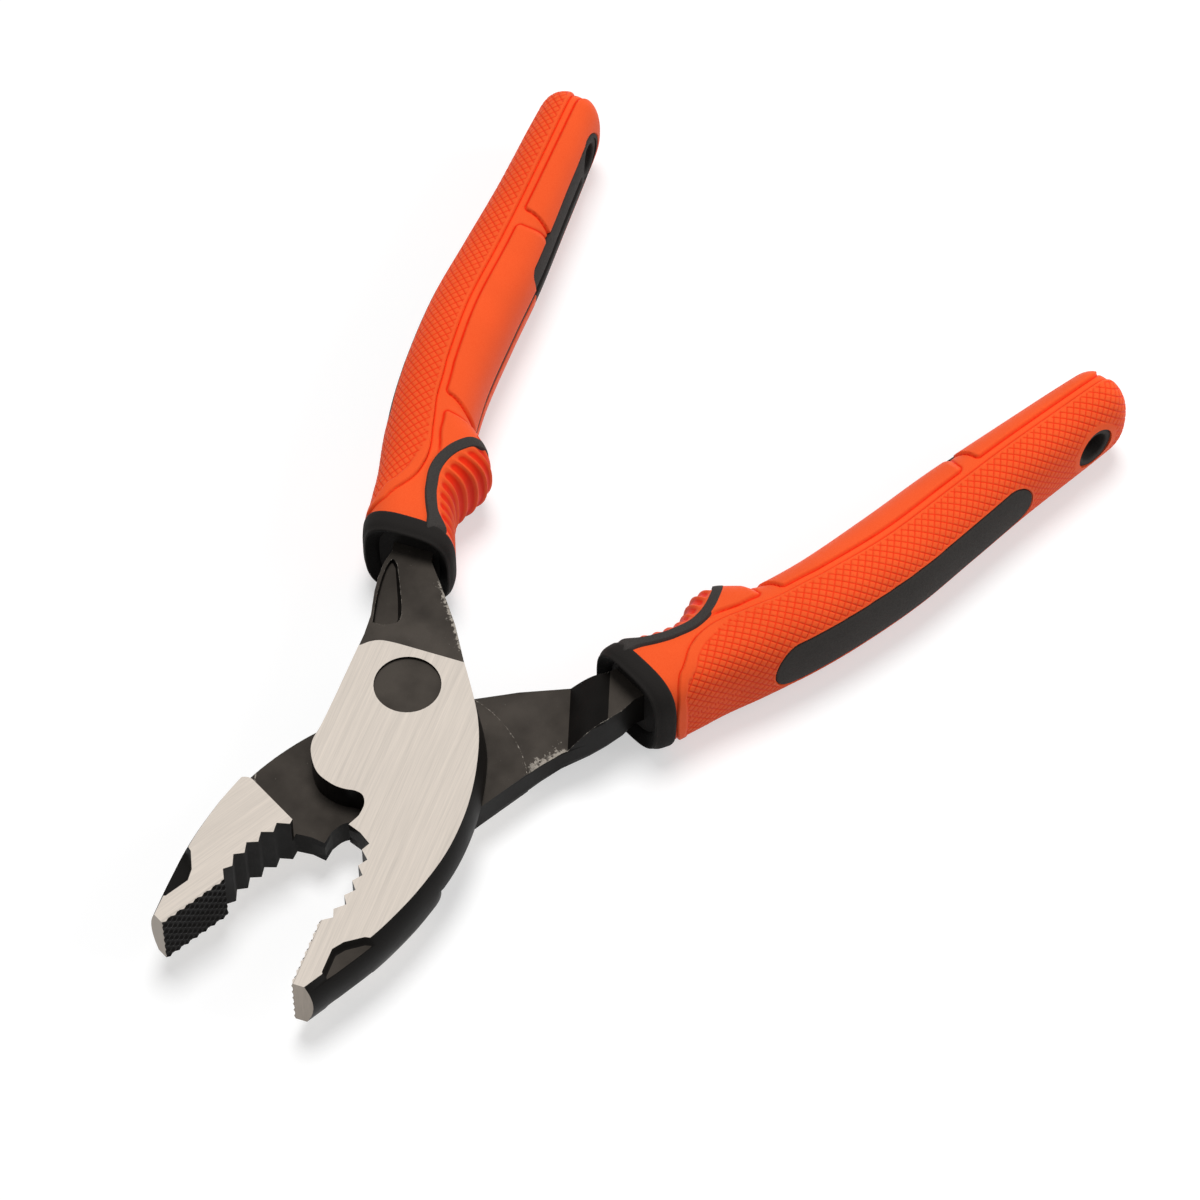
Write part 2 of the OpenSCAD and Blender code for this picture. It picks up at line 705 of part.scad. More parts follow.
module grip_core() {
    core_inset = skin_thickness + grip_clearance;
    first = collar_length / 2;
    core_places = [for (i = [0 : column_count - 1]) if (places[i] >= first) i];
    n = len(core_places);
    grid = grip_grid(core_inset, false);
    points = [for (i = core_places, j = [0 : row_count - 1]) grid[i * row_count + j]];
    color(dark_plastic)
        difference() {
            polyhedron(
                points = points,
                faces = concat(
                    [for (i = [0 : n - 2], j = [0 : row_count - 1])
                        let (k = (j + 1) % row_count)
                        each [
                            [i * row_count + j, (i + 1) * row_count + j, (i + 1) * row_count + k],
                            [i * row_count + j, (i + 1) * row_count + k, i * row_count + k]
                        ]],
                    [[for (j = [0 : row_count - 1]) j]],
                    [[for (j = [row_count - 1 : -1 : 0]) (n - 1) * row_count + j]]
                ),
                convexity = 6
            );
            translate([0, 0, -tang_half - grip_clearance])
                linear_extrude(tang_thickness + 2 * grip_clearance)
                    polygon(concat(
                        tang_edge(1, grip_clearance), backwards(tang_edge(-1, grip_clearance))
                    ));
            hang_hole(bush_diameter + 2 * grip_clearance, grip_width);
        }
}

module drilled() {
    difference() {
        children();
        hang_hole(bush_diameter + 2 * grip_clearance, grip_width);
    }
}

module collar() {
    color(dark_plastic)
        moulding(function(s, r) in_collar(s, r));
}

module outer_skin() {
    color(orange_plastic)
        drilled()
            moulding(function(s, r) in_outer(s, r));
}

module inner_skin() {
    color(orange_plastic)
        drilled()
            moulding(function(s, r) in_inner(s, r));
}

module thumb_pad() {
    color(orange_plastic)
        moulding(function(s, r) in_pad(s, r));
}

module outer_inlay() {
    color(dark_plastic)
        drilled()
            moulding(function(s, r) in_inlay(s, r));
}

module inner_strip() {
    color(dark_plastic)
        drilled()
            moulding(function(s, r) in_strip(s, r));
}

module hang_bush() {
    color(dark_plastic)
        difference() {
            hang_hole(bush_diameter, hang_half);
            hang_hole(hang_bore, grip_width);
        }
}

upper_lever();
lower_lever();
pivot_stud();
pivot_washer();
pivot_nut();
upper_frame() grip_core();  // upper_grip_core
upper_frame() collar();  // upper_collar
upper_frame() outer_skin();  // upper_outer_skin
upper_frame() inner_skin();  // upper_inner_skin
upper_frame() thumb_pad();  // upper_thumb_pad
upper_frame() outer_inlay();  // upper_outer_inlay
upper_frame() inner_strip();  // upper_inner_strip
upper_frame() hang_bush();  // upper_hang_bush
lower_frame() grip_core();  // lower_grip_core
lower_frame() collar();  // lower_collar
lower_frame() outer_skin();  // lower_outer_skin
lower_frame() inner_skin();  // lower_inner_skin
lower_frame() thumb_pad();  // lower_thumb_pad
lower_frame() outer_inlay();  // lower_outer_inlay
lower_frame() inner_strip();  // lower_inner_strip
lower_frame() hang_bush();  // lower_hang_bush
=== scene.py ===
import math
from types import SimpleNamespace

import bmesh
import bpy
import numpy as np
from bpy.props import FloatProperty, FloatVectorProperty, IntProperty, PointerProperty
from mathutils import Matrix, Vector


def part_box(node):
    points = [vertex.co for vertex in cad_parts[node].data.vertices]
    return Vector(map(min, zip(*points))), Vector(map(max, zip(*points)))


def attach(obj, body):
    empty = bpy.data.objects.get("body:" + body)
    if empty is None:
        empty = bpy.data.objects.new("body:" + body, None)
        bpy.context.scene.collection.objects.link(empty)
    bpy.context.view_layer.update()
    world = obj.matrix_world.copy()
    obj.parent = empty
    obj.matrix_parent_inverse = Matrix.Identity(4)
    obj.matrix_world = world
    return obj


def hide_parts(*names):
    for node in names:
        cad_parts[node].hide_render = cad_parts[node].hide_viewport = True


bl_info = {
    "name": "Slip joint pliers",
    "version": (1, 0, 0),
    "blender": (4, 5, 0),
    "location": "View3D > Sidebar > Pliers",
    "description": "Dresses the packed pliers with forged levers and moulded grips",
    "category": "Object",
}

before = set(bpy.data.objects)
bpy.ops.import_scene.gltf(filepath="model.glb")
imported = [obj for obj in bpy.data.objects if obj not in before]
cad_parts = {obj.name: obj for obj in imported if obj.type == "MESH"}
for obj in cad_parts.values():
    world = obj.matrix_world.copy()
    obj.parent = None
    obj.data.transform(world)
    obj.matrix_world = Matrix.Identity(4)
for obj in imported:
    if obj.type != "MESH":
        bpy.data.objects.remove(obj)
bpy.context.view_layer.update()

# Metres in a millimetre: sizes are kept in metres, shapes are worked out in millimetres
MM = 0.001
SIDES = ("upper", "lower")


def length(name, description, millimetres):
    """A length that a user may change."""
    return FloatProperty(
        name=name, description=description, default=millimetres * MM,
        unit="LENGTH", subtype="DISTANCE", precision=5, min=0.0,
    )


def colour(name, description, value):
    """A linear colour that a user may change."""
    return FloatVectorProperty(
        name=name, description=description, default=value,
        subtype="COLOR", size=3, min=0.0, max=1.0,
    )


def in_millimetres(group):
    """The sizes of a property group, with its lengths in millimetres."""
    values = {}
    for key in group.__annotations__:
        value = getattr(group, key)
        unit = group.bl_rna.properties[key].unit
        values[key] = value / MM if unit == "LENGTH" else value
    return SimpleNamespace(**values)


class LeverSizes(bpy.types.PropertyGroup):
    """Sizes of the two forged levers"""

    jaw_reach: length("Jaw reach", "From the pivot to the jaw tips", 48)
    jaw_offset: length("Jaw offset", "From the pivot to the closed jaw line", 5.1)
    jaw_half: length("Half thickness", "Half the thickness of a jaw", 5.6)
    bite_start: length("Nose end", "From the pivot to the inner end of the flat nose", 34.5)
    plate_end: length("Plate end", "From the pivot to the end of the ground plate", 24)
    grip_start: length("Grip start", "From the pivot to the collar's front", 44)
    back_bulge: length("Back bulge", "How far the jaw backs swell at mid thickness", 1.4)
    knurl_pitch: length("Knurl pitch", "Spacing of the nose's knurl along the jaw", 1.93)
    knurl_depth: length("Knurl depth", "Depth of the nose's knurl", 0.45)
    edge_width: length("Edge width", "Width of the worn edges on the necks", 0.42)
    open_angle: FloatProperty(
        name="Opening", description="Angle between the jaw lines at rest",
        default=math.radians(30), subtype="ANGLE",
    )
    mid_height: length("Mid height", "Height of the tool's mid-plane over the table", 10.2)


class GripSizes(bpy.types.PropertyGroup):
    """Sizes of a moulded grip"""

    start: length("Start", "From the pivot to the collar's front", 44)
    total: length("Length", "Length of a grip", 113.5)
    width: length("Width", "Width of a grip at its palm swell", 17.2)
    height: length("Height", "Height of a grip", 20.4)
    bow: length("Bow", "From the pivot line to the grip's middle at the palm swell", 16.7)
    cap: length("Cap", "Length of the rounded end", 6)
    collar: length("Collar", "Length of the collar", 4)
    guard_height: length("Guard height", "Height of the finger guard", 5)
    guard_reach: length("Guard reach", "From the collar's front to the guard's tip", 24)
    band_width: length("Band width", "Width of the dark band round the thumb pad", 2.2)
    rib_height: length("Rib height", "Height of the thumb pad's ribs", 0.6)
    rib_count: IntProperty(name="Ribs", description="Ribs on the thumb pad", default=9, min=1)
    inlay_start: length("Inlay start", "From the collar's front to the outer inlay", 24)
    inlay_length: length("Inlay length", "Length of the outer inlay", 62)
    inlay_height: length("Inlay height", "Height of the outer inlay", 11)
    strip_start: length("Strip start", "From the collar's front to the inner strip", 68)
    strip_height: length("Strip height", "Height of the inner strip", 9.8)
    hang_inset: length("Hang inset", "From the grip's end to the hang hole", 10.8)
    bush_diameter: length("Bush diameter", "Outer diameter of the hang hole's bush", 8.4)
    hang_bore: length("Hang bore", "Bore of the hang hole", 6)
    bush_inset: length("Bush inset", "Depth of the bush below the grip's sides", 0.6)
    panel_rise: length("Panel rise", "Height of the raised panels over the valley", 0.5)
    valley_width: length("Valley width", "Width of the smooth valley on the grip's top", 1.7)
    cell_pitch: length("Cell pitch", "Spacing of the texture's cells", 1.24)
    cell_depth: length("Cell depth", "Depth of the texture's grooves", 0.15)


class Finishes(bpy.types.PropertyGroup):
    """Colours of the pliers' finishes"""

    ground: colour("Ground steel", "Brushed faces of plates and jaws", (0.70, 0.63, 0.56))
    # Painted shade: the tip steel is the ground steel darkened on the jaws' end faces
    tip: colour("Tip steel", "Ground ends of the jaws", (0.27, 0.235, 0.20))
    # Painted shade: the oxide tone is the black oxide darkened on walls, knurl, ramp and lower nose
    oxide: colour("Black oxide", "Forged walls and laps", (0.006, 0.0052, 0.0046))
    forged: colour("Forged black", "Rough pockets and necks", (0.056, 0.048, 0.041))
    bright: colour("Bright edge", "Worn edges of the necks", (0.42, 0.38, 0.33))
    plated: colour("Plated steel", "Stud, washer and nut", (0.46, 0.45, 0.43))
    orange: colour("Orange moulding", "Soft skins of the grips", (0.985, 0.122, 0.029))
    # Painted shade: the deep orange is the orange darkened in grooves, creases and flutes
    deep_orange: colour("Deep orange", "Orange in the grooves", (0.84, 0.020, 0.004))
    dark: colour("Dark moulding", "Collars, bands, inlays and bushes", (0.056, 0.051, 0.048))


class StageSettings(bpy.types.PropertyGroup):
    """Camera, light and floor"""

    camera_place: FloatVectorProperty(
        name="Camera place", description="Where the camera stands",
        default=(-0.3836, -0.3106, 0.7352), subtype="TRANSLATION", unit="LENGTH",
    )
    camera_target: FloatVectorProperty(
        name="Camera target", description="What the camera looks at",
        default=(0.05385, -0.01333, 0.0102), subtype="TRANSLATION", unit="LENGTH",
    )
    lens: FloatProperty(name="Lens", description="Focal length in millimetres", default=150.0)
    sky: FloatProperty(name="Sky", description="Strength of the light from all sides", default=0.20)
    key: FloatProperty(name="Key", description="Strength of the even key light", default=2.2)
    fill: FloatProperty(name="Fill", description="Power of the side light in watts", default=2.5)
    floor: colour("Floor", "Colour of the floor", (0.55, 0.55, 0.55))
    glow: FloatProperty(name="Glow", description="Light that the floor shows of its own", default=0.52)


# Smooth curves through listed points, soft steps and rounded edges


def curve_value(points, places):
    """Values at the places of the smooth curve through [place, value] points."""
    knots = np.array(points, float)
    at = np.asarray(places, float)
    span = np.clip(np.searchsorted(knots[:, 0], at, side="right") - 1, 0, len(knots) - 2)
    first = knots[span]
    last = knots[span + 1]
    t = np.clip((at - first[..., 0]) / (last[..., 0] - first[..., 0]), 0, 1)
    before = knots[np.maximum(span - 1, 0), 1]
    after = knots[np.minimum(span + 2, len(knots) - 1), 1]
    b, c = first[..., 1], last[..., 1]
    return 0.5 * (
        2 * b + (c - before) * t + (2 * before - 5 * b + 4 * c - after) * t**2
        + (3 * b - before - 3 * c + after) * t**3
    )


def smooth_step(low, high, value):
    """0 below low, 1 above high, and a soft rise between them."""
    t = np.clip((value - low) / (high - low), 0, 1)
    return t * t * (3 - 2 * t)


def rounded_inside(first, second, radius):
    """Distance inside two borders whose corner is rounded."""
    gap = np.hypot(np.maximum(radius - first, 0), np.maximum(radius - second, 0))
    return np.minimum(np.minimum(first, second), radius - gap)


def edge_drop(inside, radius):
    """Drop of a rounded edge: 1 at the border and 0 from a radius inside it."""
    edge = np.clip(inside / radius, 0, 1)
    return 1 - np.sqrt(1 - (1 - edge) ** 2)


def soft_line(distance, width):
    """1 on a line, falling softly to both sides."""
    return np.exp(-(distance / width) ** 2)


# Meshes and their places


def lever_matrix(side):
    """Place of a lever's own frame in the tool: the lower lever is the upper one turned over."""
    size = in_millimetres(bpy.context.scene.pliers_lever)
    lift = Matrix.Translation((0, 0, size.mid_height * MM))
    half = size.open_angle / 2
    if side == "upper":
        return lift @ Matrix.Rotation(half, 4, "Z")
    turned = Matrix.Translation((0, -2 * size.jaw_offset * MM, 0)) @ Matrix.Rotation(math.pi, 4, "X")
    return lift @ Matrix.Rotation(-half, 4, "Z") @ turned


def link_piece(name, mesh, side, nodes, body=None):
    """Puts a mesh in its lever's frame, on its body, in place of its CAD nodes."""
    piece = bpy.data.objects.new(name, mesh)
    bpy.context.scene.collection.objects.link(piece)
    if side:
        piece.matrix_world = lever_matrix(side)
    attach(piece, body or f"{side}_half")
    if nodes:
        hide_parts(*nodes)


def link_pair(name, mesh, nodes):
    """The same moulding on both grips."""
    for side in SIDES:
        link_piece(f"{side}_{name}", mesh, side, [f"{side}_{node}" for node in nodes])


def finish_node(node, material):
    """Gives a CAD node that stays visible its material."""
    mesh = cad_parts[node].data
    mesh.materials.clear()
    mesh.materials.append(material)


def finish_mesh(mesh, sharp_degrees=35.0):
    """Smooth shading that keeps the sharp edges."""
    mesh.shade_smooth()
    mesh.set_sharp_from_angle(angle=math.radians(sharp_degrees))
    return mesh


def grid_faces(columns, rows, close_columns=False, close_rows=False, first=0):
    """Quads of a grid of points; a closed way joins its last line to its first."""
    all_i = np.arange(columns if close_columns else columns - 1)
    all_j = np.arange(rows if close_rows else rows - 1)
    i, j = (part.ravel() for part in np.meshgrid(all_i, all_j, indexing="ij"))
    k, m = (i + 1) % columns, (j + 1) % rows
    corners = (i * rows + j, i * rows + m, k * rows + m, k * rows + j)
    return (first + np.stack(corners, -1)).tolist()


def mesh_from(name, points, faces, material, grooves=None):
    """A closed mesh of points in millimetres, with a painted groove shade from 0 to 1 at each point."""
    mesh = bpy.data.meshes.new(name)
    mesh.from_pydata((np.asarray(points, float) * MM).tolist(), [], faces)
    mesh.materials.append(material)
    shade = mesh.attributes.new("groove", "FLOAT", "POINT")
    shade.data.foreach_set("value", np.zeros(len(points)) if grooves is None else grooves)
    work = bmesh.new()
    work.from_mesh(mesh)
    bmesh.ops.remove_doubles(work, verts=work.verts, dist=1e-3 * MM)
    bmesh.ops.recalc_face_normals(work, faces=work.faces)
    work.to_mesh(mesh)
    work.free()
    return mesh


def ring_mesh(name, points, material, closed=False, grooves=None):
    """A closed mesh over rings of points; the last ring joins the first, or both ends are capped."""
    rings, count = points.shape[:2]
    faces = grid_faces(rings, count, closed, True)
    if not closed:
        faces += [list(range(count))[::-1], list(range((rings - 1) * count, rings * count))]
    return mesh_from(name, points.reshape(-1, 3), faces, material, grooves)


# Forged levers

# The black oxide finish carries painted shade, and so does the tip steel
LEVER_FINISHES = ("ground_steel", "tip_steel", "black_oxide", "forged_black", "worn_edge")
GROUND, TIP, SHADED_OXIDE, FORGED, WORN = range(len(LEVER_FINISHES))
# Points of the border between the inside of the jaw and plate and their back
BACK_BORDER = ((-48, -6.4), (-40, -8.6), (-25, -13), (0, -13), (24, -8))
# The swell of the backs fades out towards the neck, between these distances ahead of the pivot
PLATE_FADE = (-22.0, -8.0)
# The ramp to the tang's underside lies across this direction, between these distances from the pivot; its
# faces there get painted shade, and the lever is cut at the far distance, where that shade ends
RAMP_ANGLE = math.radians(43)
RAMP_REACH = (28.4, 35.4)
# The sunk nose lies this far under the knurl's grooves, and the knurl's rim reaches twice as far
NOSE_SINK = 0.04


def slice_mesh(work, place, way):
    """Cuts the faces of a mesh along a plane."""
    everything = list(work.verts) + list(work.edges) + list(work.faces)
    bmesh.ops.bisect_plane(work, geom=everything, dist=1e-4 * MM, plane_co=place, plane_no=way)


def is_back(x, y):
    """Whether a point of the outline lies on the back of the jaw or plate."""
    places, heights = zip(*BACK_BORDER)
    return x < places[-1] and y < np.interp(x, places, heights)


def swell_backs(work, size):
    """The forged backs of the jaws are convex; the tip ends stay flat."""
    for z in np.linspace(-size.jaw_half, size.jaw_half, 13)[1:-1]:
        slice_mesh(work, (0, 0, z * MM), (0, 0, 1))
    moves = []
    for vert in work.verts:
        x, y, z = vert.co / MM
        if not is_back(x, y):
            continue
        side = Vector()
        for face in vert.link_faces:
            if abs(face.normal.z) < 0.5 and face.normal.y < -0.1:
                side += face.normal
        side.z = 0
        if x < 0.1 - size.jaw_reach:
            side.x = 0
        if side.length < 1e-6:
            continue
        fade = float(smooth_step(*PLATE_FADE, -x))
        amount = size.back_bulge * (1 - (z / size.jaw_half) ** 2) * fade
        moves.append((vert, side.normalized() * amount * MM))
    for vert, move in moves:
        vert.co += move


def flatten_nose(work, size):
    """Sinks the plain nose, so that the knurled face can stand on it."""
    groove_foot = -size.jaw_offset - size.knurl_depth
    for vert in work.verts:
        x, y, _ = vert.co / MM
        if x < -size.bite_start + 0.05 and y > groove_foot:
            vert.co.y = (groove_foot - NOSE_SINK) * MM


def wear_neck_edges(work, size):
    """Chamfers the sharp edges of the neck, where the finish is worn."""
    edges = []
    for edge in work.edges:
        if len(edge.link_faces) != 2 or not edge.is_convex:
            continue
        xs = [vert.co.x / MM for vert in edge.verts]
        if min(xs) < size.plate_end - 0.01 or max(xs) > size.grip_start + 3:
            continue
        if edge.calc_face_angle(0) > math.radians(40):
            edges.append(edge)
    if edges:
        bmesh.ops.bevel(
            work, geom=edges, offset=size.edge_width * MM, segments=1, affect="EDGES",
            clamp_overlap=True, material=WORN,
        )


def lever_finish(face, size, side):
    """Finish of a lever's face, by where it lies and which way it faces; the darker oxide on walls, ramp and
    lower nose is painted shade.
    """
    x, y, z = face.calc_center_median() / MM
    flat = abs(face.normal.z) > 0.99
    along_ramp = x * math.cos(RAMP_ANGLE) + y * math.sin(RAMP_ANGLE)
    if flat and abs(abs(z) - size.jaw_half) < 0.02 and x < size.plate_end:
        return GROUND
    if face.normal.x < -0.9 and x < 0.2 - size.jaw_reach:
        return TIP
    # The lower lever's nose flat gets the darker oxide as painted shade
    if flat and x < -size.bite_start:
        return FORGED if side == "upper" else SHADED_OXIDE
    # The ramp's faces, its flat last ones too, get the darker oxide as painted shade
    if face.normal.z < -0.1 and RAMP_REACH[0] < along_ramp < RAMP_REACH[1]:
        return SHADED_OXIDE
    # Faces that don't face up get the darker oxide as painted shade
    return FORGED if abs(face.normal.z) > 0.9 else SHADED_OXIDE


def knurl_grids(size):
    """Front and foot of the nose's knurled face: pyramids between two sets of slanting grooves."""
    steps = 8
    columns = round((size.jaw_reach - size.bite_start) / size.knurl_pitch) * steps + 1
    rows = round(2 * size.jaw_half / size.knurl_pitch) * steps + 1
    x, z = np.meshgrid(
        np.linspace(-size.jaw_reach, -size.bite_start, columns),
        np.linspace(-size.jaw_half, size.jaw_half, rows), indexing="ij",
    )

    def tooth(value):
        share = value / size.knurl_pitch
        return 1 - np.abs(2 * (share - np.floor(share)) - 1)

    height = np.minimum(tooth(x + z), tooth(x - z))
    front = -size.jaw_offset - size.knurl_depth * (1 - height)
    foot = np.full_like(x, -size.jaw_offset - size.knurl_depth - 2 * NOSE_SINK)
    return np.stack((x, front, z), axis=-1), np.stack((x, foot, z), axis=-1)


def add_knurl(work, size):
    """Stands the knurled face on the sunk nose, with a rim round it."""
    outer, inner = knurl_grids(size)
    columns, rows = outer.shape[:2]
    front = [[work.verts.new(point * MM) for point in column] for column in outer]
    rim = {}

    def foot(i, j):
        if (i, j) not in rim:
            rim[i, j] = work.verts.new(inner[i, j] * MM)
        return rim[i, j]

    def add_face(corners, order, finish):
        work.faces.new(corners[::order]).material_index = finish

    for i in range(columns - 1):
        for j in range(rows - 1):
            add_face([front[i][j], front[i][j + 1], front[i + 1][j + 1], front[i + 1][j]], 1, SHADED_OXIDE)
    for i in range(columns - 1):
        for j, order in ((0, 1), (rows - 1, -1)):
            add_face([front[i][j], front[i + 1][j], foot(i + 1, j), foot(i, j)], order, GROUND)
    for j in range(rows - 1):
        for i, order, finish in ((0, -1, TIP), (columns - 1, 1, SHADED_OXIDE)):
            add_face([front[i][j], front[i][j + 1], foot(i, j + 1), foot(i, j)], order, finish)


def lever_mesh(side, size):
    """A lever in its own frame, from its solid."""
    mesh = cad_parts[f"{side}_lever"].data.copy()
    mesh.transform(lever_matrix(side).inverted())
    mesh.materials.clear()
    for name in LEVER_FINISHES:
        mesh.materials.append(bpy.data.materials[name])
    work = bmesh.new()
    work.from_mesh(mesh)
    for face in work.faces:
        face.material_index = SHADED_OXIDE
    bmesh.ops.remove_doubles(work, verts=work.verts, dist=2e-3 * MM)
    bmesh.ops.dissolve_limit(
        work, angle_limit=math.radians(0.4), verts=work.verts, edges=work.edges, delimit=set(),
    )
    ramp_way = Vector((math.cos(RAMP_ANGLE), math.sin(RAMP_ANGLE), 0))
    slice_mesh(work, ramp_way * RAMP_REACH[1] * MM, ramp_way)
    wear_neck_edges(work, size)
    flatten_nose(work, size)
    work.normal_update()
    swell_backs(work, size)
    work.normal_update()
    for face in work.faces:
        if face.material_index != WORN:
            face.material_index = lever_finish(face, size, side)
    add_knurl(work, size)
    work.normal_update()
    work.to_mesh(mesh)
    work.free()
    mesh.name = f"{side}_lever_forging"
    return finish_mesh(mesh)


class PLIERS_OT_levers(bpy.types.Operator):
    """Forged levers with ground faces, black walls darkened with painted shade, and knurled noses"""

    bl_idname = "pliers.levers"
    bl_label = "Levers"

    def execute(self, context):
        size = in_millimetres(context.scene.pliers_lever)
        for side in SIDES:
            mesh = lever_mesh(side, size)
            link_piece(f"{side}_lever_forging", mesh, side, [f"{side}_lever"])
        return {"FINISHED"}


# Pivot

# Outer diameter of the washer over its bore
WASHER_RATIO = 2.1
# Share of the nut's half width that its chamfer leaves at the ends, and the chamfer's slope
NUT_END_SHARE = 0.97
NUT_CHAMFER_SLOPE = 1.8


def lathe(name, profile, material, steps=72):
    """A closed ring turned about Z from [radius, height] points, in millimetres."""
    turn = np.linspace(0, 2 * math.pi, steps, endpoint=False)
    radius, height = np.array(profile, float).T
    across = (np.outer(np.cos(turn), radius), np.outer(np.sin(turn), radius))
    points = np.stack((*across, np.tile(height, (steps, 1))), axis=-1)
    return ring_mesh(name, points, material, closed=True)


def washer_mesh(material):
    """Flat washer with rounded rims."""
    low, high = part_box("pivot_washer")
    outer = (high.x - low.x) / 2 / MM
    bore = outer / WASHER_RATIO
    foot, top = low.z / MM, high.z / MM
    rim = (top - foot) * 0.25
    profile = [
        (bore, foot), (outer - rim, foot), (outer - rim * 0.3, foot + rim * 0.3), (outer, foot + rim),
        (outer, top - rim), (outer - rim * 0.3, top - rim * 0.3), (outer - rim, top), (bore, top),
    ]
    return finish_mesh(lathe("pivot_washer_ring", profile, material))


def nut_mesh(material):
    """Closed hexagon nut with chamfered corners."""
    low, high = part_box("pivot_nut")
    half_flats = (high.y - low.y) / 2 / MM
    height = (high.z - low.z) / MM
    sector = math.pi / 3
    turn = np.linspace(0, 2 * math.pi, 144, endpoint=False)
    hexagon = half_flats / np.cos(np.mod(turn, sector) - sector / 2)
    levels = np.concatenate((np.linspace(0, 0.16, 5), np.linspace(0.3, 0.7, 3), np.linspace(0.84, 1, 5)))
    from_end = np.minimum(levels, 1 - levels) * height
    limit = half_flats * NUT_END_SHARE + from_end * NUT_CHAMFER_SLOPE
    radius = np.minimum(hexagon[None, :], limit[:, None])
    heights = np.repeat(levels[:, None] * height, len(turn), axis=1)
    points = np.stack((radius * np.cos(turn), radius * np.sin(turn), heights), axis=-1)
    return finish_mesh(ring_mesh("pivot_nut_hexagon", points, material), 25)


class PLIERS_OT_pivot(bpy.types.Operator):
    """Stud, washer and nut of the slip joint"""

    bl_idname = "pliers.pivot"
    bl_label = "Pivot"

    def execute(self, context):
        plated = bpy.data.materials["plated_steel"]
        washer, nut = washer_mesh(plated), nut_mesh(plated)
        link_piece("pivot_washer_ring", washer, None, ["pivot_washer"], "slip_washer")
        link_piece("pivot_nut_hexagon", nut, None, ["pivot_nut"], "upper_half")
        finish_node("pivot_stud", plated)
        return {"FINISHED"}


# Surface of a grip, by the distance behind the collar's front and the angle from its outer side

# Shares of a size along the grip: the first three go by the grip's length, the seam by the guard's reach
# and the band by the thumb pad's length
RISE_SHARES = (
    (0, 0.515), (0.1, 0.68), (0.25, 0.875), (0.36, 0.975), (0.5, 1), (0.63, 0.965), (0.76, 0.945), (1, 0.945),
)
WIDTH_SHARES = (
    (0, 0.98), (0.035, 1.03), (0.11, 0.94), (0.25, 0.97), (0.36, 0.975), (0.5, 1), (0.63, 0.95),
    (0.76, 0.84), (0.89, 0.77), (1, 0.7),
)
HEIGHT_SHARES = (
    (0, 0.95), (0.035, 0.996), (0.1, 1), (0.18, 1), (0.25, 0.997), (0.4, 0.98), (0.6, 0.93),
    (0.76, 0.935), (0.93, 0.9), (1, 0.87),
)
SEAM_SHARES = (
    (0.175, 1), (0.2375, 0.8), (0.3, 0.6), (0.367, 0.45), (0.48, 0.14), (0.604, -0.08), (0.75, -0.17),
    (1.04, -0.12), (1.5, -0.12), (1.67, -0.09), (2.3, 0), (5, 0),
)
BAND_SHARES = (
    (0, 0.6), (0.17, 0.48), (0.26, 0.38), (0.37, 0.33), (0.5, 0.31), (0.6, 0.3), (0.7, 0.33),
    (0.8, 0.4), (0.9, 0.54), (1, 0.74), (1.1, 0.86),
)
# Shares of the guard's reach over which the guard rises and falls, and where the thumb pad ends
GUARD_RISE = 0.42
GUARD_FALL = 0.36
PAD_SHARE = 1.12
# Roundness of the grip's end and how far it closes, and the share of the section at the collar's front
END_POWER = 2.6
END_CLOSE = 0.9999
FRONT_SHARE = 0.9
# Roundness of the section at the collar and from the guard's tip on; 2 is an ellipse
FRONT_POWER = 3.2
PALM_POWER = 2.4
# Inner strip: rounding of its corners, half height and start of its thin tail, and its rim round the bush
STRIP_CORNER = 2.0
TAIL_HALF = 0.5
TAIL_START = 31.0
STRIP_RIM = 0.9


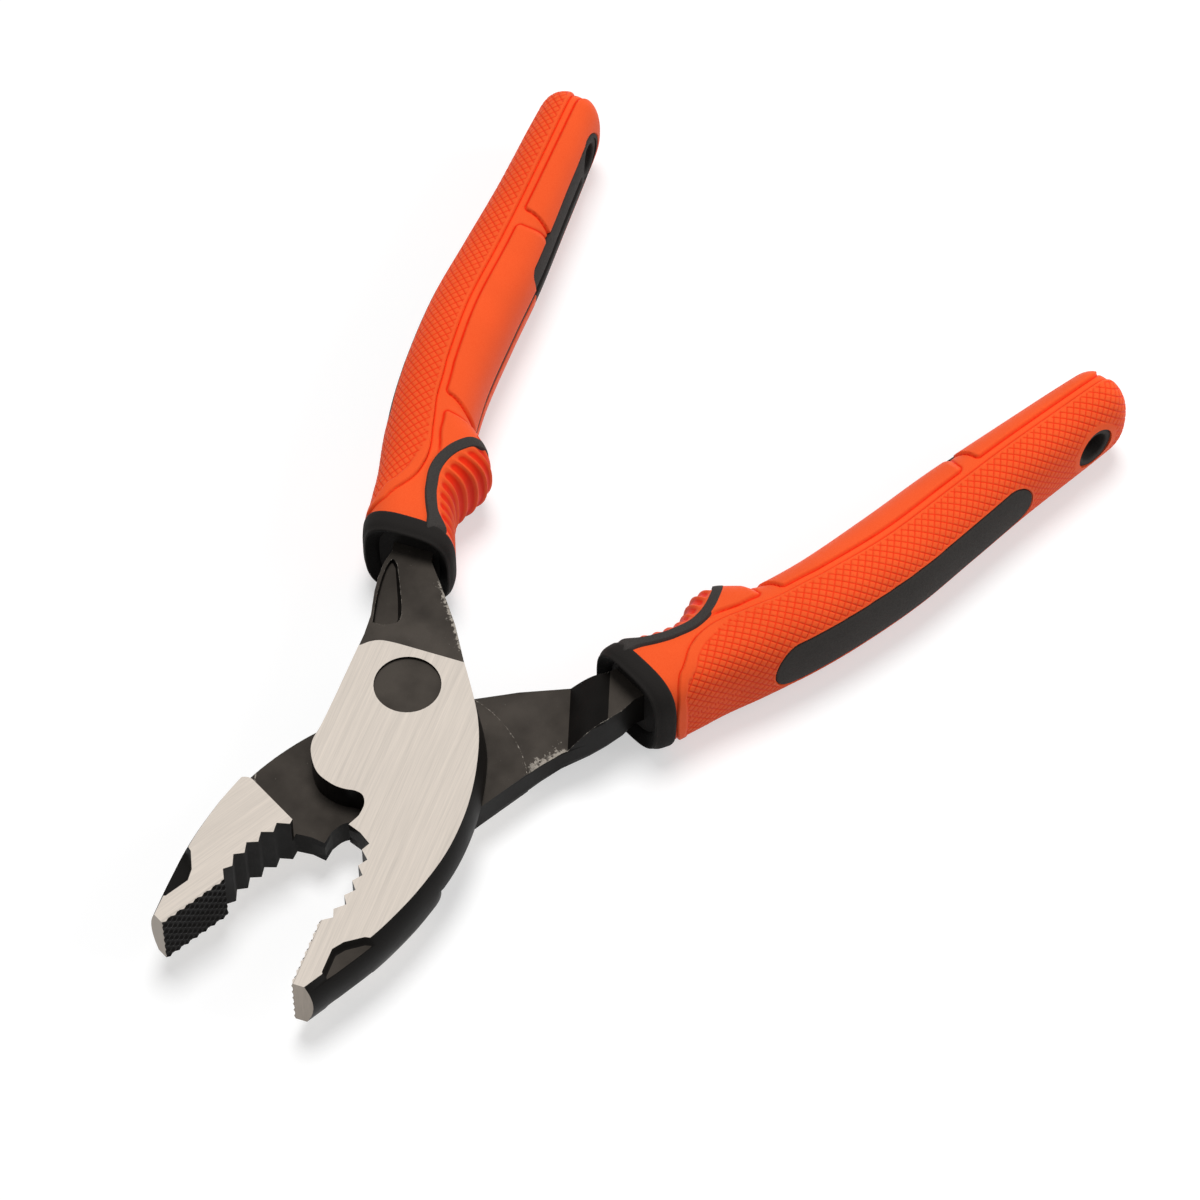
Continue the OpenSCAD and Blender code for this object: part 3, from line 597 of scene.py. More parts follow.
class GripForm:
    """The plain outer form of a grip, in millimetres."""

    def __init__(self):
        self.size = in_millimetres(bpy.context.scene.pliers_grip)
        size = self.size
        self.cap_start = size.total - size.cap
        self.seam_start = size.guard_reach * SEAM_SHARES[0][0]
        self.pad_end = size.guard_reach * PAD_SHARE
        self.inlay_end = size.inlay_start + size.inlay_length
        self.hang_place = size.total - size.hang_inset
        self.strip_ring = size.bush_diameter / 2 + STRIP_RIM

    def share(self, s):
        return np.clip(np.asarray(s, float) / self.size.total, 0, 1)

    def rise(self, s):
        return self.size.bow * curve_value(RISE_SHARES, self.share(s))

    def half_width(self, s):
        return self.size.width / 2 * curve_value(WIDTH_SHARES, self.share(s))

    def half_height(self, s):
        return self.size.height / 2 * curve_value(HEIGHT_SHARES, self.share(s))

    def swell(self, s):
        away = np.asarray(s, float) - self.size.guard_reach
        reach = self.size.guard_reach * np.where(away < 0, GUARD_RISE, GUARD_FALL)
        bump = self.size.guard_height * (1 + np.cos(np.pi * away / reach)) / 2
        return np.where(np.abs(away) > reach, 0, bump)

    def end_scale(self, s):
        s = np.asarray(s, float)
        in_cap = np.clip((s - self.cap_start) / self.size.cap, 0, 1)
        lip = self.size.collar / 2
        front = FRONT_SHARE + (1 - FRONT_SHARE) * np.sin(np.pi / 2 * np.clip(s / lip, 0, 1))
        return (1 - (END_CLOSE * in_cap) ** END_POWER) ** (1 / END_POWER) * front

    def power(self, s):
        along = np.clip(np.asarray(s, float) / self.size.guard_reach, 0, 1)
        return FRONT_POWER + (PALM_POWER - FRONT_POWER) * along

    def flatten(self, s, v):
        return np.sign(v) * np.abs(v) ** (2 / self.power(s))

    def unflatten(self, s, v):
        return np.sign(v) * np.minimum(1, np.abs(v)) ** (self.power(s) / 2)

    def points(self, s, angle, inset=0.0):
        """Places on the surface; the angle is in degrees."""
        turn = np.radians(angle)
        scale = self.end_scale(s)
        side = self.flatten(s, np.cos(turn))
        reach = (self.half_width(s) - inset) * scale + np.where(side < 0, self.swell(s), 0)
        y = self.rise(s) + reach * side
        z = (self.half_height(s) - inset) * scale * self.flatten(s, np.sin(turn))
        into_cap = np.maximum(np.asarray(s, float) - self.cap_start, 0)
        x = self.size.start + s - into_cap * inset / self.size.cap
        return np.stack((x + 0 * angle, y, z), axis=-1)

    def height_angle(self, s, z):
        return np.degrees(np.arcsin(self.unflatten(s, z / self.half_height(s))))

    def side_angle(self, s, share):
        return np.degrees(np.arccos(self.unflatten(s, share)))

    def seam(self, s):
        """Angle of the border between the outer and the inner skin."""
        along = np.asarray(s, float) / self.size.guard_reach
        return np.maximum(self.side_angle(s, curve_value(SEAM_SHARES, along)), 4)

    def pad_line(self, s, limit=0.97):
        """Angle of the thumb pad's border, along the middle of the dark band."""
        share = curve_value(BAND_SHARES, np.minimum(s, self.pad_end) / self.pad_end)
        half_band = self.size.band_width / (self.half_width(s) + self.swell(s)) / 2
        return self.side_angle(s, -np.minimum(share + half_band, limit))

    def inlay_line(self, s):
        """Angle of the outer inlay's border."""
        ends = np.minimum(np.asarray(s, float) - self.size.inlay_start, self.inlay_end - s)
        along = np.clip(2 * ends / self.size.inlay_height, 0, 1)
        return self.height_angle(s, self.size.inlay_height / 2 * np.sqrt(1 - (1 - along) ** 2))

    def strip_half(self, s):
        """Half height of the inner strip: a thin tail, the strip, and a ring round the hang hole."""
        behind = np.asarray(s, float) - self.size.strip_start
        cut = STRIP_CORNER - np.clip(behind, 0, STRIP_CORNER)
        body = self.size.strip_height / 2 - STRIP_CORNER + np.sqrt(STRIP_CORNER**2 - cut**2)
        body = np.where(behind < 0, TAIL_HALF, body)
        away = np.asarray(s, float) - self.hang_place
        round_hole = np.sqrt(np.maximum(self.strip_ring**2 - away**2, 0))
        return np.where(away > 0, np.maximum(round_hole, 1e-3), np.maximum(body, round_hole))

    def hang_matrix(self):
        """Place of the hang hole, with its axis along Z before the turn."""
        place = Vector((self.size.start + self.hang_place, float(self.rise(self.hang_place)), 0)) * MM
        return Matrix.Translation(place) @ Matrix.Rotation(math.pi / 2, 4, "X")


def surface_normals(points):
    """Outward normals of a grid of points along the grip and round it."""
    normal = np.cross(np.gradient(points, axis=1), np.gradient(points, axis=0))
    return normal / np.maximum(np.linalg.norm(normal, axis=-1, keepdims=True), 1e-9)


def arc_lengths(points):
    """Distance along each row of points, from the row's middle."""
    steps = np.linalg.norm(np.diff(points, axis=1), axis=-1)
    total = np.concatenate((np.zeros((len(points), 1)), np.cumsum(steps, axis=1)), axis=1)
    return total - total[:, -1:] / 2


# Mouldings: closed shells over the plain form

# Rows of points on the hidden inner side of a moulding
INNER_ROWS = 13
# How deep the mouldings reach below the plain form, and how deep a skin lies under another moulding
SKIN_DEPTH = 1.8
PAD_DEPTH = 1.6
INLAY_DEPTH = 1.4
SUNK_DEPTH = 0.9
# Outer skin: rounding of its edge, half width of a groove at its floor and mouth, places over which the front
# bead fades, distances inside the edge where the bead steps down, and the depth of that step
SKIN_ROUND = 0.4
GROOVE_SIDES = (0.03, 0.19)
BEAD_FADE = (15, 24)
BEAD_EDGE = (1.6, 2.2)
BEAD_STEP = 0.2
# Where the texture sets in: distance from the seam, what the bead adds to it, and distances from the inlay
# and from the hang hole's axis
SEAM_MARGIN = 0.5
BEAD_MARGIN = 1.5
INLAY_MARGIN = (0.25, 0.6)
HOLE_MARGIN = (5.2, 5.9)
# Inner skin: places over which the panels and their creases set in, angles over which the panels' ends are
# drawn out, rounding of a panel's front and rear corners, and depth of a crease
PANEL_FADE = (15, 21)
CREASE_FADE = (18, 22)
PANEL_BEND = (25, 75)
PANEL_CORNERS = (0.8, 1.4)
CREASE_DEPTH = 0.22
# Panels: place of the front edge and how far it is drawn out on the inner side, then the same of the rear
PANELS = ((0.0, 0.0, 29.7, 0.8), (33.3, 1.3, 76.2, 1.3), (79.6, 0.9, 200.0, 0.0))

# Thumb pad: how far it reaches under the collar and past the pad's end, its depth under the plain form,
# and the rounding of its ribs
PAD_LAP = 0.8
PAD_PAST = 0.9
PAD_DIP = 0.1
RIB_ROUND = 0.006
# Outer inlay: degrees left free at its border, depth under the plain form, and depth and width of its
# rounded edge
INLAY_FREE = 0.5
INLAY_DIP = 0.05
INLAY_DROP = 0.3
INLAY_ROUND = 0.5
# Inner strip: gap at its border, depth under the plain form, depth and width of its rounded edge, then the
# channel's depth, half width at its floor and mouth, and the distances ahead of the hang hole where it ends
STRIP_GAP = 0.06
STRIP_DIP = 0.08
STRIP_DROP = 0.22
STRIP_ROUND = 0.35
CHANNEL_DEPTH = 0.6
CHANNEL_SIDES = (0.75, 1.05)
CHANNEL_END = (6.0, 5.4)


def ring_faces(outer_ring, inner_ring):
    """Faces between a fine ring of points and a coarse one; a fine step may end on one coarse point."""
    share = (len(inner_ring) - 1) / (len(outer_ring) - 1)
    faces = []
    for k in range(len(outer_ring) - 1):
        first, last = inner_ring[int(k * share)], inner_ring[int((k + 1) * share)]
        faces.append([outer_ring[k], outer_ring[k + 1], last] + ([first] if first != last else []))
    return faces


def shell_mesh(name, outer, inner, grooves, material):
    """A closed shell between a fine outer grid and a coarse inner one with as many columns.

    Where the first and last row of a column meet, the shell runs all the way round.
    """
    columns, rows = outer.shape[:2]
    inner_rows = inner.shape[1]
    base = columns * rows
    outside = np.arange(base).reshape(columns, rows)
    inside = base + np.arange(columns * inner_rows).reshape(columns, inner_rows)
    faces = grid_faces(columns, rows) + grid_faces(columns, inner_rows, first=base)
    met = np.linalg.norm(inner[:, 0] - inner[:, -1], axis=-1) < 1e-6
    outer[met, -1] = outer[met, 0]
    i = np.flatnonzero(~(met[:-1] & met[1:]))
    for row, order in ((0, 1), (-1, -1)):
        wall = (outside[i, row], outside[i + 1, row], inside[i + 1, row], inside[i, row])
        faces += np.stack(wall, -1)[:, ::order].tolist()
    for column in (0, columns - 1):
        outer_ring, inner_ring = outside[column].tolist(), inside[column].tolist()
        faces += ring_faces(outer_ring, inner_ring) if met[column] else [outer_ring + inner_ring[::-1]]
    points = np.concatenate((outer.reshape(-1, 3), inner.reshape(-1, 3)))
    # Painted groove shade on the outer grid, none on the hidden inner one
    shade = np.concatenate((grooves.ravel(), np.zeros(inside.size)))
    return mesh_from(name, points, faces, material, shade)


def patch(s, low, high, rows):
    """Grid of places and angles between two border lines."""
    share = np.linspace(0, 1, rows)
    places = np.repeat(np.asarray(s, float)[:, None], rows, axis=1)
    return places, low[:, None] + (high - low)[:, None] * share[None, :]


def moulding_mesh(name, form, s, low, high, relief, material, rows, depth):
    """A closed moulding over the patch between two border lines.

    The relief gives the height over the plain form and the painted groove shade at each place.
    """
    places, angles = patch(s, low, high, rows)
    points = form.points(places, angles)
    heights, grooves = relief(places, angles, points)
    outer = points + surface_normals(points) * heights[..., None]
    inner = form.points(*patch(s, low, high, INNER_ROWS), depth)
    return shell_mesh(name, outer, inner, grooves + 0 * heights, material)


def grip_places(form, first, step):
    """Places along a grip, drawn together at its front and where its end rounds over."""
    dense = 3.0
    start = first + dense * np.linspace(0, 1, 34)[:-1] ** 2
    straight = np.arange(first + dense, form.cap_start, step)
    bend = np.sin(np.linspace(0, math.pi / 2, 40))
    return np.concatenate((start, straight, form.cap_start + form.size.cap * bend))


def border_slope(s, half):
    """Factor from a distance across the grip to the distance from a slanting border."""
    return np.sqrt(1 + np.gradient(half[:, 0], s)[:, None] ** 2)


def outer_skin_mesh(form, material):
    """Raised outer skin: a smooth bead in front, then slanting cells."""
    size = form.size
    s = grip_places(form, form.seam_start, 0.15)
    border = form.seam(s)

    def groove(value):
        share = value / (size.cell_pitch * math.sqrt(2))
        away = np.abs(share - np.round(share)) * size.cell_pitch
        return 1 - smooth_step(*GROOVE_SIDES, away)

    def relief(places, angles, points):
        arc = arc_lengths(points)
        half = arc[:, -1:]
        to_side = (half - np.abs(arc)) / border_slope(s, half)
        inside = np.minimum(to_side, places - form.seam_start + 0.02)
        front = 1 - smooth_step(*BEAD_FADE, places)
        rise = -size.panel_rise * edge_drop(inside, SKIN_ROUND)
        rise = rise - BEAD_STEP * front * smooth_step(*BEAD_EDGE, inside)
        lines = np.maximum(groove(places + arc), groove(places - arc))
        round_end = size.inlay_height / 2
        past_end = np.maximum(size.inlay_start + round_end - places, places - form.inlay_end + round_end)
        inlay_gap = np.hypot(np.maximum(past_end, 0), points[..., 2]) - round_end
        hole = np.hypot(points[..., 0] - size.start - form.hang_place, points[..., 2])
        margin = SEAM_MARGIN + BEAD_MARGIN * front
        lines = lines * smooth_step(margin, margin + 0.25, inside)
        lines = lines * smooth_step(*INLAY_MARGIN, inlay_gap) * smooth_step(*HOLE_MARGIN, hole)
        sunk = 1 - smooth_step(-0.05, 0.12, inlay_gap)
        total = (rise - size.cell_depth * lines) * (1 - sunk) - SUNK_DEPTH * sunk
        # Painted shade in the cells' grooves and along the foot of the bead's step
        bead_foot = 0.5 * front * soft_line(inside - 2.1, 0.16)
        return total, np.maximum(0.8 * lines, bead_foot)

    return moulding_mesh(
        "outer_skin", form, s, -border, border, relief, material, rows=220, depth=SKIN_DEPTH,
    )


def inner_skin_mesh(form, material):
    """Smooth inner skin: a valley along the seam and three raised panels."""
    size = form.size
    front_ring = np.linspace(3.2, form.seam_start, 8)[:-1]
    s = np.concatenate((front_ring, grip_places(form, form.seam_start, 0.2)))
    border = form.seam(s) * (s >= form.seam_start)

    def relief(places, angles, points):
        arc = arc_lengths(points)
        half = arc[:, -1:]
        from_seam = half - np.abs(arc)
        from_valley = from_seam / border_slope(s, half) - size.valley_width
        from_inner = np.abs(angles - 180)
        bend = 1 - smooth_step(*PANEL_BEND, from_inner)
        panels = np.zeros_like(places)
        crease = soft_line(from_seam, 0.26)
        for front, front_bend, rear, rear_bend in PANELS:
            behind = places - front + front_bend * bend
            ahead = rear + rear_bend * bend - places
            inside = rounded_inside(from_valley, behind, PANEL_CORNERS[0])
            rear_end = smooth_step(0.0, 1.5, rounded_inside(from_valley + 1, ahead, 1.5))
            step = smooth_step(0.0, 0.28, inside) * rear_end
            panels = np.maximum(panels, step * smooth_step(*PANEL_FADE, places))
            line = soft_line(rounded_inside(inside, ahead, PANEL_CORNERS[1]) + 0.1, 0.2)
            crease = np.maximum(crease, line * smooth_step(*CREASE_FADE, places))
        rise = -size.panel_rise * (1 - panels) - CREASE_DEPTH * crease
        pad_line = form.pad_line(places)
        in_pad = (angles > pad_line) & (angles < 360 - pad_line) & (places < form.pad_end + PAD_PAST)
        rise = np.where(in_pad, -SUNK_DEPTH, rise)
        strip = np.abs(points[..., 2]) - form.strip_half(places)
        strip_end = form.hang_place + form.strip_ring
        along_strip = (places > TAIL_START) & (places < strip_end) & (from_inner < 60)
        sunk = np.where(along_strip, 1 - smooth_step(-0.1, 0.15, strip), 0)
        # The creases along the seam and the panels' borders also get painted shade
        return rise * (1 - sunk) - SUNK_DEPTH * sunk, crease

    return moulding_mesh(
        "inner_skin", form, s, border, 360 - border, relief, material, rows=220, depth=SKIN_DEPTH,
    )


def thumb_pad_mesh(form, material):
    """Saddle inside the band, with sharp ribs and painted shade in the flutes between them."""
    size = form.size
    s = np.arange(size.collar - PAD_LAP, form.pad_end + PAD_PAST, 0.15)
    line = form.pad_line(s)
    pitch = (size.guard_reach - size.collar) / size.rib_count

    def relief(places, angles, points):
        arc = arc_lengths(points)
        inside = arc[:, -1:] - np.abs(arc)
        flute = np.sqrt(np.sin(np.pi * (places - size.guard_reach) / pitch) ** 2 + RIB_ROUND)
        depth = flute * smooth_step(size.collar, size.collar + 2, places) * smooth_step(1.0, 3.2, inside)
        # Painted shade in the flutes between the ribs
        return -PAD_DIP - size.rib_height * depth, 0.9 * smooth_step(0.3, 0.8, depth)

    return moulding_mesh(
        "thumb_pad", form, s, line, 360 - line, relief, material, rows=110, depth=PAD_DEPTH,
    )


def inlay_mesh(form, material):
    """Bare panel of the outer side."""
    size = form.size
    ends = size.inlay_height / 2 * (1 - np.cos(np.linspace(0, math.pi / 2, 26)))
    first = size.inlay_start + ends
    last = (form.inlay_end - ends)[::-1]
    s = np.concatenate((first, np.linspace(first[-1], last[0], 92)[1:-1], last))
    line = np.maximum(form.inlay_line(s) - INLAY_FREE, 0.02)

    def relief(places, angles, points):
        arc = arc_lengths(points)
        from_ends = np.minimum(places - size.inlay_start, form.inlay_end - places) + 0.01
        inside = np.minimum(arc[:, -1:] - np.abs(arc), from_ends)
        return -INLAY_DIP - INLAY_DROP * edge_drop(inside, INLAY_ROUND), 0

    return moulding_mesh(
        "outer_inlay", form, s, -line, line, relief, material, rows=61, depth=INLAY_DEPTH,
    )


def strip_mesh(form, material):
    """Dark strip of the inner side, with a channel along it and a ring round the hang hole."""
    size = form.size
    start = size.strip_start
    tail = np.arange(TAIL_START + 0.1, start - 0.2, 0.3)
    corner = start + STRIP_CORNER * np.linspace(0, 1, 20) ** 2
    body = np.arange(start + STRIP_CORNER + 0.2, form.hang_place, 0.3)
    ring = form.hang_place + form.strip_ring * np.sin(np.linspace(0, math.pi / 2, 24))
    s = np.concatenate((tail, [start - 0.01], corner, body, ring))
    angle = form.height_angle(s, np.maximum(form.strip_half(s) - STRIP_GAP, 0.02))

    def relief(places, angles, points):
        z = np.abs(points[..., 2])
        channel = (1 - smooth_step(*CHANNEL_SIDES, z)) * smooth_step(start - 0.2, start + 0.2, places)
        fade, end = (form.hang_place - ahead for ahead in CHANNEL_END)
        channel = channel * (1 - smooth_step(fade, end, places))
        crown = -STRIP_DIP - STRIP_DROP * edge_drop(form.strip_half(places) - z, STRIP_ROUND)
        # The channel also gets painted shade
        return crown - CHANNEL_DEPTH * channel, channel

    return moulding_mesh(
        "inner_strip", form, s, 180 - angle, 180 + angle, relief, material, rows=49, depth=INLAY_DEPTH,
    )


# Collar: wall at its front, height over the skins, place and rounding of its front edge, depth of its face
COLLAR_WALL = 2.5
COLLAR_PROUD = 0.12
COLLAR_EDGE = 0.7
COLLAR_ROUND = 0.4
COLLAR_FALL = 1.7
# Painted shade on the collar's outer side, which makes it darker than the band
COLLAR_PAINTED_SHADE = 0.68


def collar_mesh(form, material):
    """Dark ring at the grip's front, whose face falls inwards to the neck; painted shade darkens its outer
    side and more so its face.
    """
    collar = form.size.collar
    turns = np.linspace(0, 360, 181)[:-1]
    rings = []
    shade = []

    def ring(s, inset, lift=0.0, groove=COLLAR_PAINTED_SHADE):
        points = form.points(np.full_like(turns, s), turns, inset)
        points[:, 0] += lift
        rings.append(points)
        shade.append(np.full_like(turns, groove))

    ring(collar + 0.1, 0.3)
    ring(collar - 0.15, 0.1 - COLLAR_PROUD)
    for s in np.linspace(collar - 0.5, COLLAR_EDGE, 7):
        ring(s, -COLLAR_PROUD)
    for turn in np.linspace(0.15, 1, 7) * math.pi / 2:
        inset = COLLAR_ROUND * (1 - math.cos(turn)) - COLLAR_PROUD
        ring(COLLAR_EDGE, inset, -COLLAR_ROUND * math.sin(turn))
    # The face that falls inwards to the neck gets full painted shade
    for share in (0.06, 0.3, 0.65, 1):
        inset = COLLAR_ROUND - COLLAR_PROUD + share * (COLLAR_WALL - COLLAR_ROUND)
        ring(COLLAR_EDGE, inset, share * COLLAR_FALL - COLLAR_ROUND, 1.0)
    ring(COLLAR_EDGE, COLLAR_WALL, collar - 1.6, 1.0)
    mesh = ring_mesh("collar_ring", np.stack(rings), material, True, np.concatenate(shade))
    return finish_mesh(mesh, 50)


# Band: first and last place of its path beside the pad, millimetres that a degree round the grip counts as,
# heights of its foot, its shoulders and the sides of its crown, and the crown's rise
BAND_REACH = (2.6, 25.5)
DEGREE_LENGTH = 0.16
BAND_FOOT = -1.4
BAND_SHOULDER = -0.3
BAND_SIDE = -0.1
BAND_CROWN = 0.22


def band_path(form, count):
    """Places and angles along the middle of the band, from the collar round the pad and back."""
    s = np.linspace(*BAND_REACH, 70)[:-1]
    tip = form.pad_end + form.size.band_width / 2
    # Listed points where the band turns round the pad's end
    near_tip = [(26.6, float(form.side_angle(26.6, -0.88))), (27.6, 160.0), (tip, 180.0)]
    half = np.concatenate((np.stack((s, form.pad_line(s, 0.985)), -1), near_tip))
    other_half = np.stack((half[-2::-1, 0], 360 - half[-2::-1, 1]), -1)
    path = np.concatenate((half, other_half))
    steps = np.hypot(np.diff(path[:, 0]), np.diff(path[:, 1]) * DEGREE_LENGTH)
    along = np.concatenate(([0], np.cumsum(steps)))
    even = np.linspace(0, along[-1], count)
    lines = [np.interp(even, along, column) for column in path.T]
    for line in lines:
        for _ in range(20):
            line[1:-1] = (line[:-2] + 2 * line[1:-1] + line[2:]) / 4
    return lines


def unit(vectors):
    """The same directions with a length of 1."""
    return vectors / np.linalg.norm(vectors, axis=-1, keepdims=True)


def band_mesh(form, material):
    """Dark band that runs from the collar round the thumb pad."""
    collar = form.size.collar
    count = 260
    s, angle = band_path(form, count)
    centre = form.points(s, angle)
    step = 0.05
    along_s = form.points(s + step, angle) - form.points(s - step, angle)
    around = form.points(s, angle + step) - form.points(s, angle - step)
    normal = unit(np.cross(around, along_s))
    across = np.cross(unit(np.gradient(centre, axis=0)), normal)
    half_width = form.size.band_width / 2
    section = [(-half_width, BAND_FOOT), (-half_width, BAND_SHOULDER)]
    for turn in np.linspace(0.15, 0.85, 9) * math.pi:
        crown = BAND_SIDE + BAND_CROWN * math.sin(turn) ** 0.5
        section.append((-half_width * math.cos(turn) * 0.96, crown))
    section += [(half_width, BAND_SHOULDER), (half_width, BAND_FOOT)]
    width, height = np.array(section).T
    near_collar = 1 - smooth_step(collar - 0.4, collar + 4, s)
    spread = 1 + 0.9 * near_collar**2
    lift = -0.5 * (1 - smooth_step(collar - 1.2, collar + 0.2, s))
    points = (
        centre[:, None] + across[:, None] * np.outer(spread, width)[..., None]
        + normal[:, None] * (height + lift[:, None])[..., None]
    )
    return finish_mesh(ring_mesh("thumb_band", points, material), 50)


def bush_mesh(form, material):
    """Tube of the hang hole, with rounded mouths."""
    size = form.size
    half = float(form.half_width(form.hang_place)) - size.bush_inset
    bore = size.hang_bore / 2
    lip = 0.5
    profile = []
    for end, order in ((-1, 1), (1, -1)):
        mouth = [
            (bore + lip * (1 - math.sin(turn)), end * (half - lip * (1 - math.cos(turn))))
            for turn in np.linspace(math.pi / 2, 0, 6)
        ]
        mouth.append((size.bush_diameter / 2, end * half))
        profile += mouth[::order]
    mesh = lathe("hang_bush_tube", profile, material)
    mesh.transform(form.hang_matrix())
    return finish_mesh(mesh)


def drill_hang_hole(form, mesh):
    """The same mesh with the hang hole cut through it."""
    radius = (form.size.bush_diameter / 2 + 0.06) * MM
    work = bmesh.new()
    bmesh.ops.create_cone(
        work, cap_ends=True, segments=96, radius1=radius, radius2=radius, depth=3 * form.size.width * MM,
    )
    bmesh.ops.transform(work, matrix=form.hang_matrix(), verts=work.verts)
    drill_mesh = bpy.data.meshes.new("hang_drill")
    work.to_mesh(drill_mesh)
    work.free()
    drill = bpy.data.objects.new("hang_drill", drill_mesh)
    blank = bpy.data.objects.new("hang_blank", mesh)
    for item in (drill, blank):
        bpy.context.scene.collection.objects.link(item)
    cut = blank.modifiers.new("hang_hole", "BOOLEAN")
    cut.operation = "DIFFERENCE"
    cut.solver = "EXACT"
    cut.object = drill
    graph = bpy.context.evaluated_depsgraph_get()
    result = bpy.data.meshes.new_from_object(blank.evaluated_get(graph))
    result.name = mesh.name
    bpy.data.objects.remove(blank)
    bpy.data.objects.remove(drill)
    bpy.data.meshes.remove(drill_mesh)
    return result


class PLIERS_OT_skins(bpy.types.Operator):
    """Textured outer and panelled inner skins of the grips"""

    bl_idname = "pliers.skins"
    bl_label = "Grip skins"

    def execute(self, context):
        form = GripForm()
        orange = bpy.data.materials["soft_orange"]
        outer = finish_mesh(drill_hang_hole(form, outer_skin_mesh(form, orange)), 60)
        link_pair("outer_skin_textured", outer, ["outer_skin"])
        inner = finish_mesh(drill_hang_hole(form, inner_skin_mesh(form, orange)), 60)
        link_pair("inner_skin_panelled", inner, ["inner_skin"])
        return {"FINISHED"}


class PLIERS_OT_thumb_pads(bpy.types.Operator):
    """Ribbed thumb pads"""

    bl_idname = "pliers.thumb_pads"
    bl_label = "Thumb pads"

    def execute(self, context):
        mesh = finish_mesh(thumb_pad_mesh(GripForm(), bpy.data.materials["soft_orange"]), 60)
        link_pair("thumb_pad_ribbed", mesh, ["thumb_pad"])
        return {"FINISHED"}


class PLIERS_OT_collars(bpy.types.Operator):
    """Dark collars and the bands round the thumb pads"""

    bl_idname = "pliers.collars"
    bl_label = "Collars"

    def execute(self, context):
        form = GripForm()
        dark = bpy.data.materials["stiff_dark"]
        link_pair("collar_ring", collar_mesh(form, dark), ["collar"])
        link_pair("thumb_band", band_mesh(form, dark), [])
        return {"FINISHED"}


class PLIERS_OT_inlays(bpy.types.Operator):
    """Dark outer inlays, inner strips and hang hole bushes, and cores darkened as painted shade"""

    bl_idname = "pliers.inlays"
    bl_label = "Inlays and bushes"

    def execute(self, context):
        form = GripForm()
        dark = bpy.data.materials["stiff_dark"]
        inlay = finish_mesh(inlay_mesh(form, dark), 60)
        link_pair("outer_inlay_bare", inlay, ["outer_inlay"])
        strip = finish_mesh(drill_hang_hole(form, strip_mesh(form, dark)), 50)
        link_pair("inner_strip_channelled", strip, ["inner_strip"])
        link_pair("hang_bush_tube", bush_mesh(form, dark), ["hang_bush"])
        for side in SIDES:
            # The cores, seen only inside the collars' openings, get a darker material as painted shade
            finish_node(f"{side}_grip_core", bpy.data.materials["core_dark"])
        return {"FINISHED"}


# Shader nodes: an input takes a plain value or another node's output

FLOAT = "NodeSocketFloat"
VECTOR = "NodeSocketVector"


def feed(tree, node, values):
    """Sets a node's inputs to values or joins them to other nodes' outputs."""
    for key, value in values.items():
        if isinstance(value, bpy.types.NodeSocket):
            tree.links.new(value, node.inputs[key])
        else:
            node.inputs[key].default_value = value


def add_node(tree, kind, values=None, **settings):
    """The outputs of a new node with its settings and inputs."""
    node = tree.nodes.new(f"ShaderNode{kind}")
    for key, value in settings.items():
        setattr(node, key, value)
    feed(tree, node, values or {})
    return node.outputs


def maths(tree, operation, *values):
    """Result of a mathematical operation on one to three values."""
    return add_node(tree, "Math", dict(enumerate(values)), operation=operation)["Value"]


def noise(tree, place, scale, detail, roughness=0.5):
    """Cloudy noise from 0 to 1."""
    values = {"Vector": place, "Scale": scale, "Detail": detail, "Roughness": roughness}
    return add_node(tree, "TexNoise", values)["Fac"]


def value_between(tree, factor, first, second, low=0.0, high=1.0):
    """A value from first to second as the factor goes from low to high."""
    values = {"Value": factor, "From Min": low, "From Max": high, "To Min": first, "To Max": second}
    return add_node(tree, "MapRange", values)["Result"]


def mix_colours(tree, factor, first, second):
    """A colour from first to second as the factor goes from 0 to 1."""
    values = {"Factor": factor}
    for key, value in (("A", first), ("B", second)):
        values[key] = (*value, 1) if isinstance(value, tuple) else value
    return add_node(tree, "Mix", values, data_type="RGBA")["Result"]


def bump(tree, height, distance, strength):
    """Normal of a fine relief, whose full height is a distance in metres."""
    return add_node(tree, "Bump", {"Height": height, "Distance": distance, "Strength": strength})["Normal"]


def scaled(tone, factor):
    """A lighter or darker tone."""
    return tuple(min(1.0, part * factor) for part in tone)


# Shared effects as node groups


def new_group(name, inputs, outputs):
    """An empty shader node group with its sockets, the outputs of its input node and its output node."""
    group = bpy.data.node_groups.new(name, "ShaderNodeTree")
    for title, kind, default in inputs:
        socket = group.interface.new_socket(title, in_out="INPUT", socket_type=kind)
        socket.default_value = default
    for title in outputs:
        group.interface.new_socket(title, in_out="OUTPUT", socket_type=FLOAT)
    return group, group.nodes.new("NodeGroupInput").outputs, group.nodes.new("NodeGroupOutput")


def moulded_grain():
    """Fine grain of a moulded surface, with slow shade changes."""
    tree, given, result = new_group(
        "Moulded grain", [("Scale", FLOAT, 4000.0), ("Patch scale", FLOAT, 60.0)],
        ["Height", "Grain", "Patches"],
    )
    place = add_node(tree, "TexCoord")["Object"]
    grain = noise(tree, place, given["Scale"], 3.0)
    patches = noise(tree, place, given["Patch scale"], 2.0)
    pits = add_node(tree, "TexVoronoi", {"Vector": place, "Scale": given["Scale"]})["Distance"]
    height = maths(tree, "MULTIPLY_ADD", pits, 0.5, grain)
    feed(tree, result, {"Height": height, "Grain": grain, "Patches": patches})
    return tree


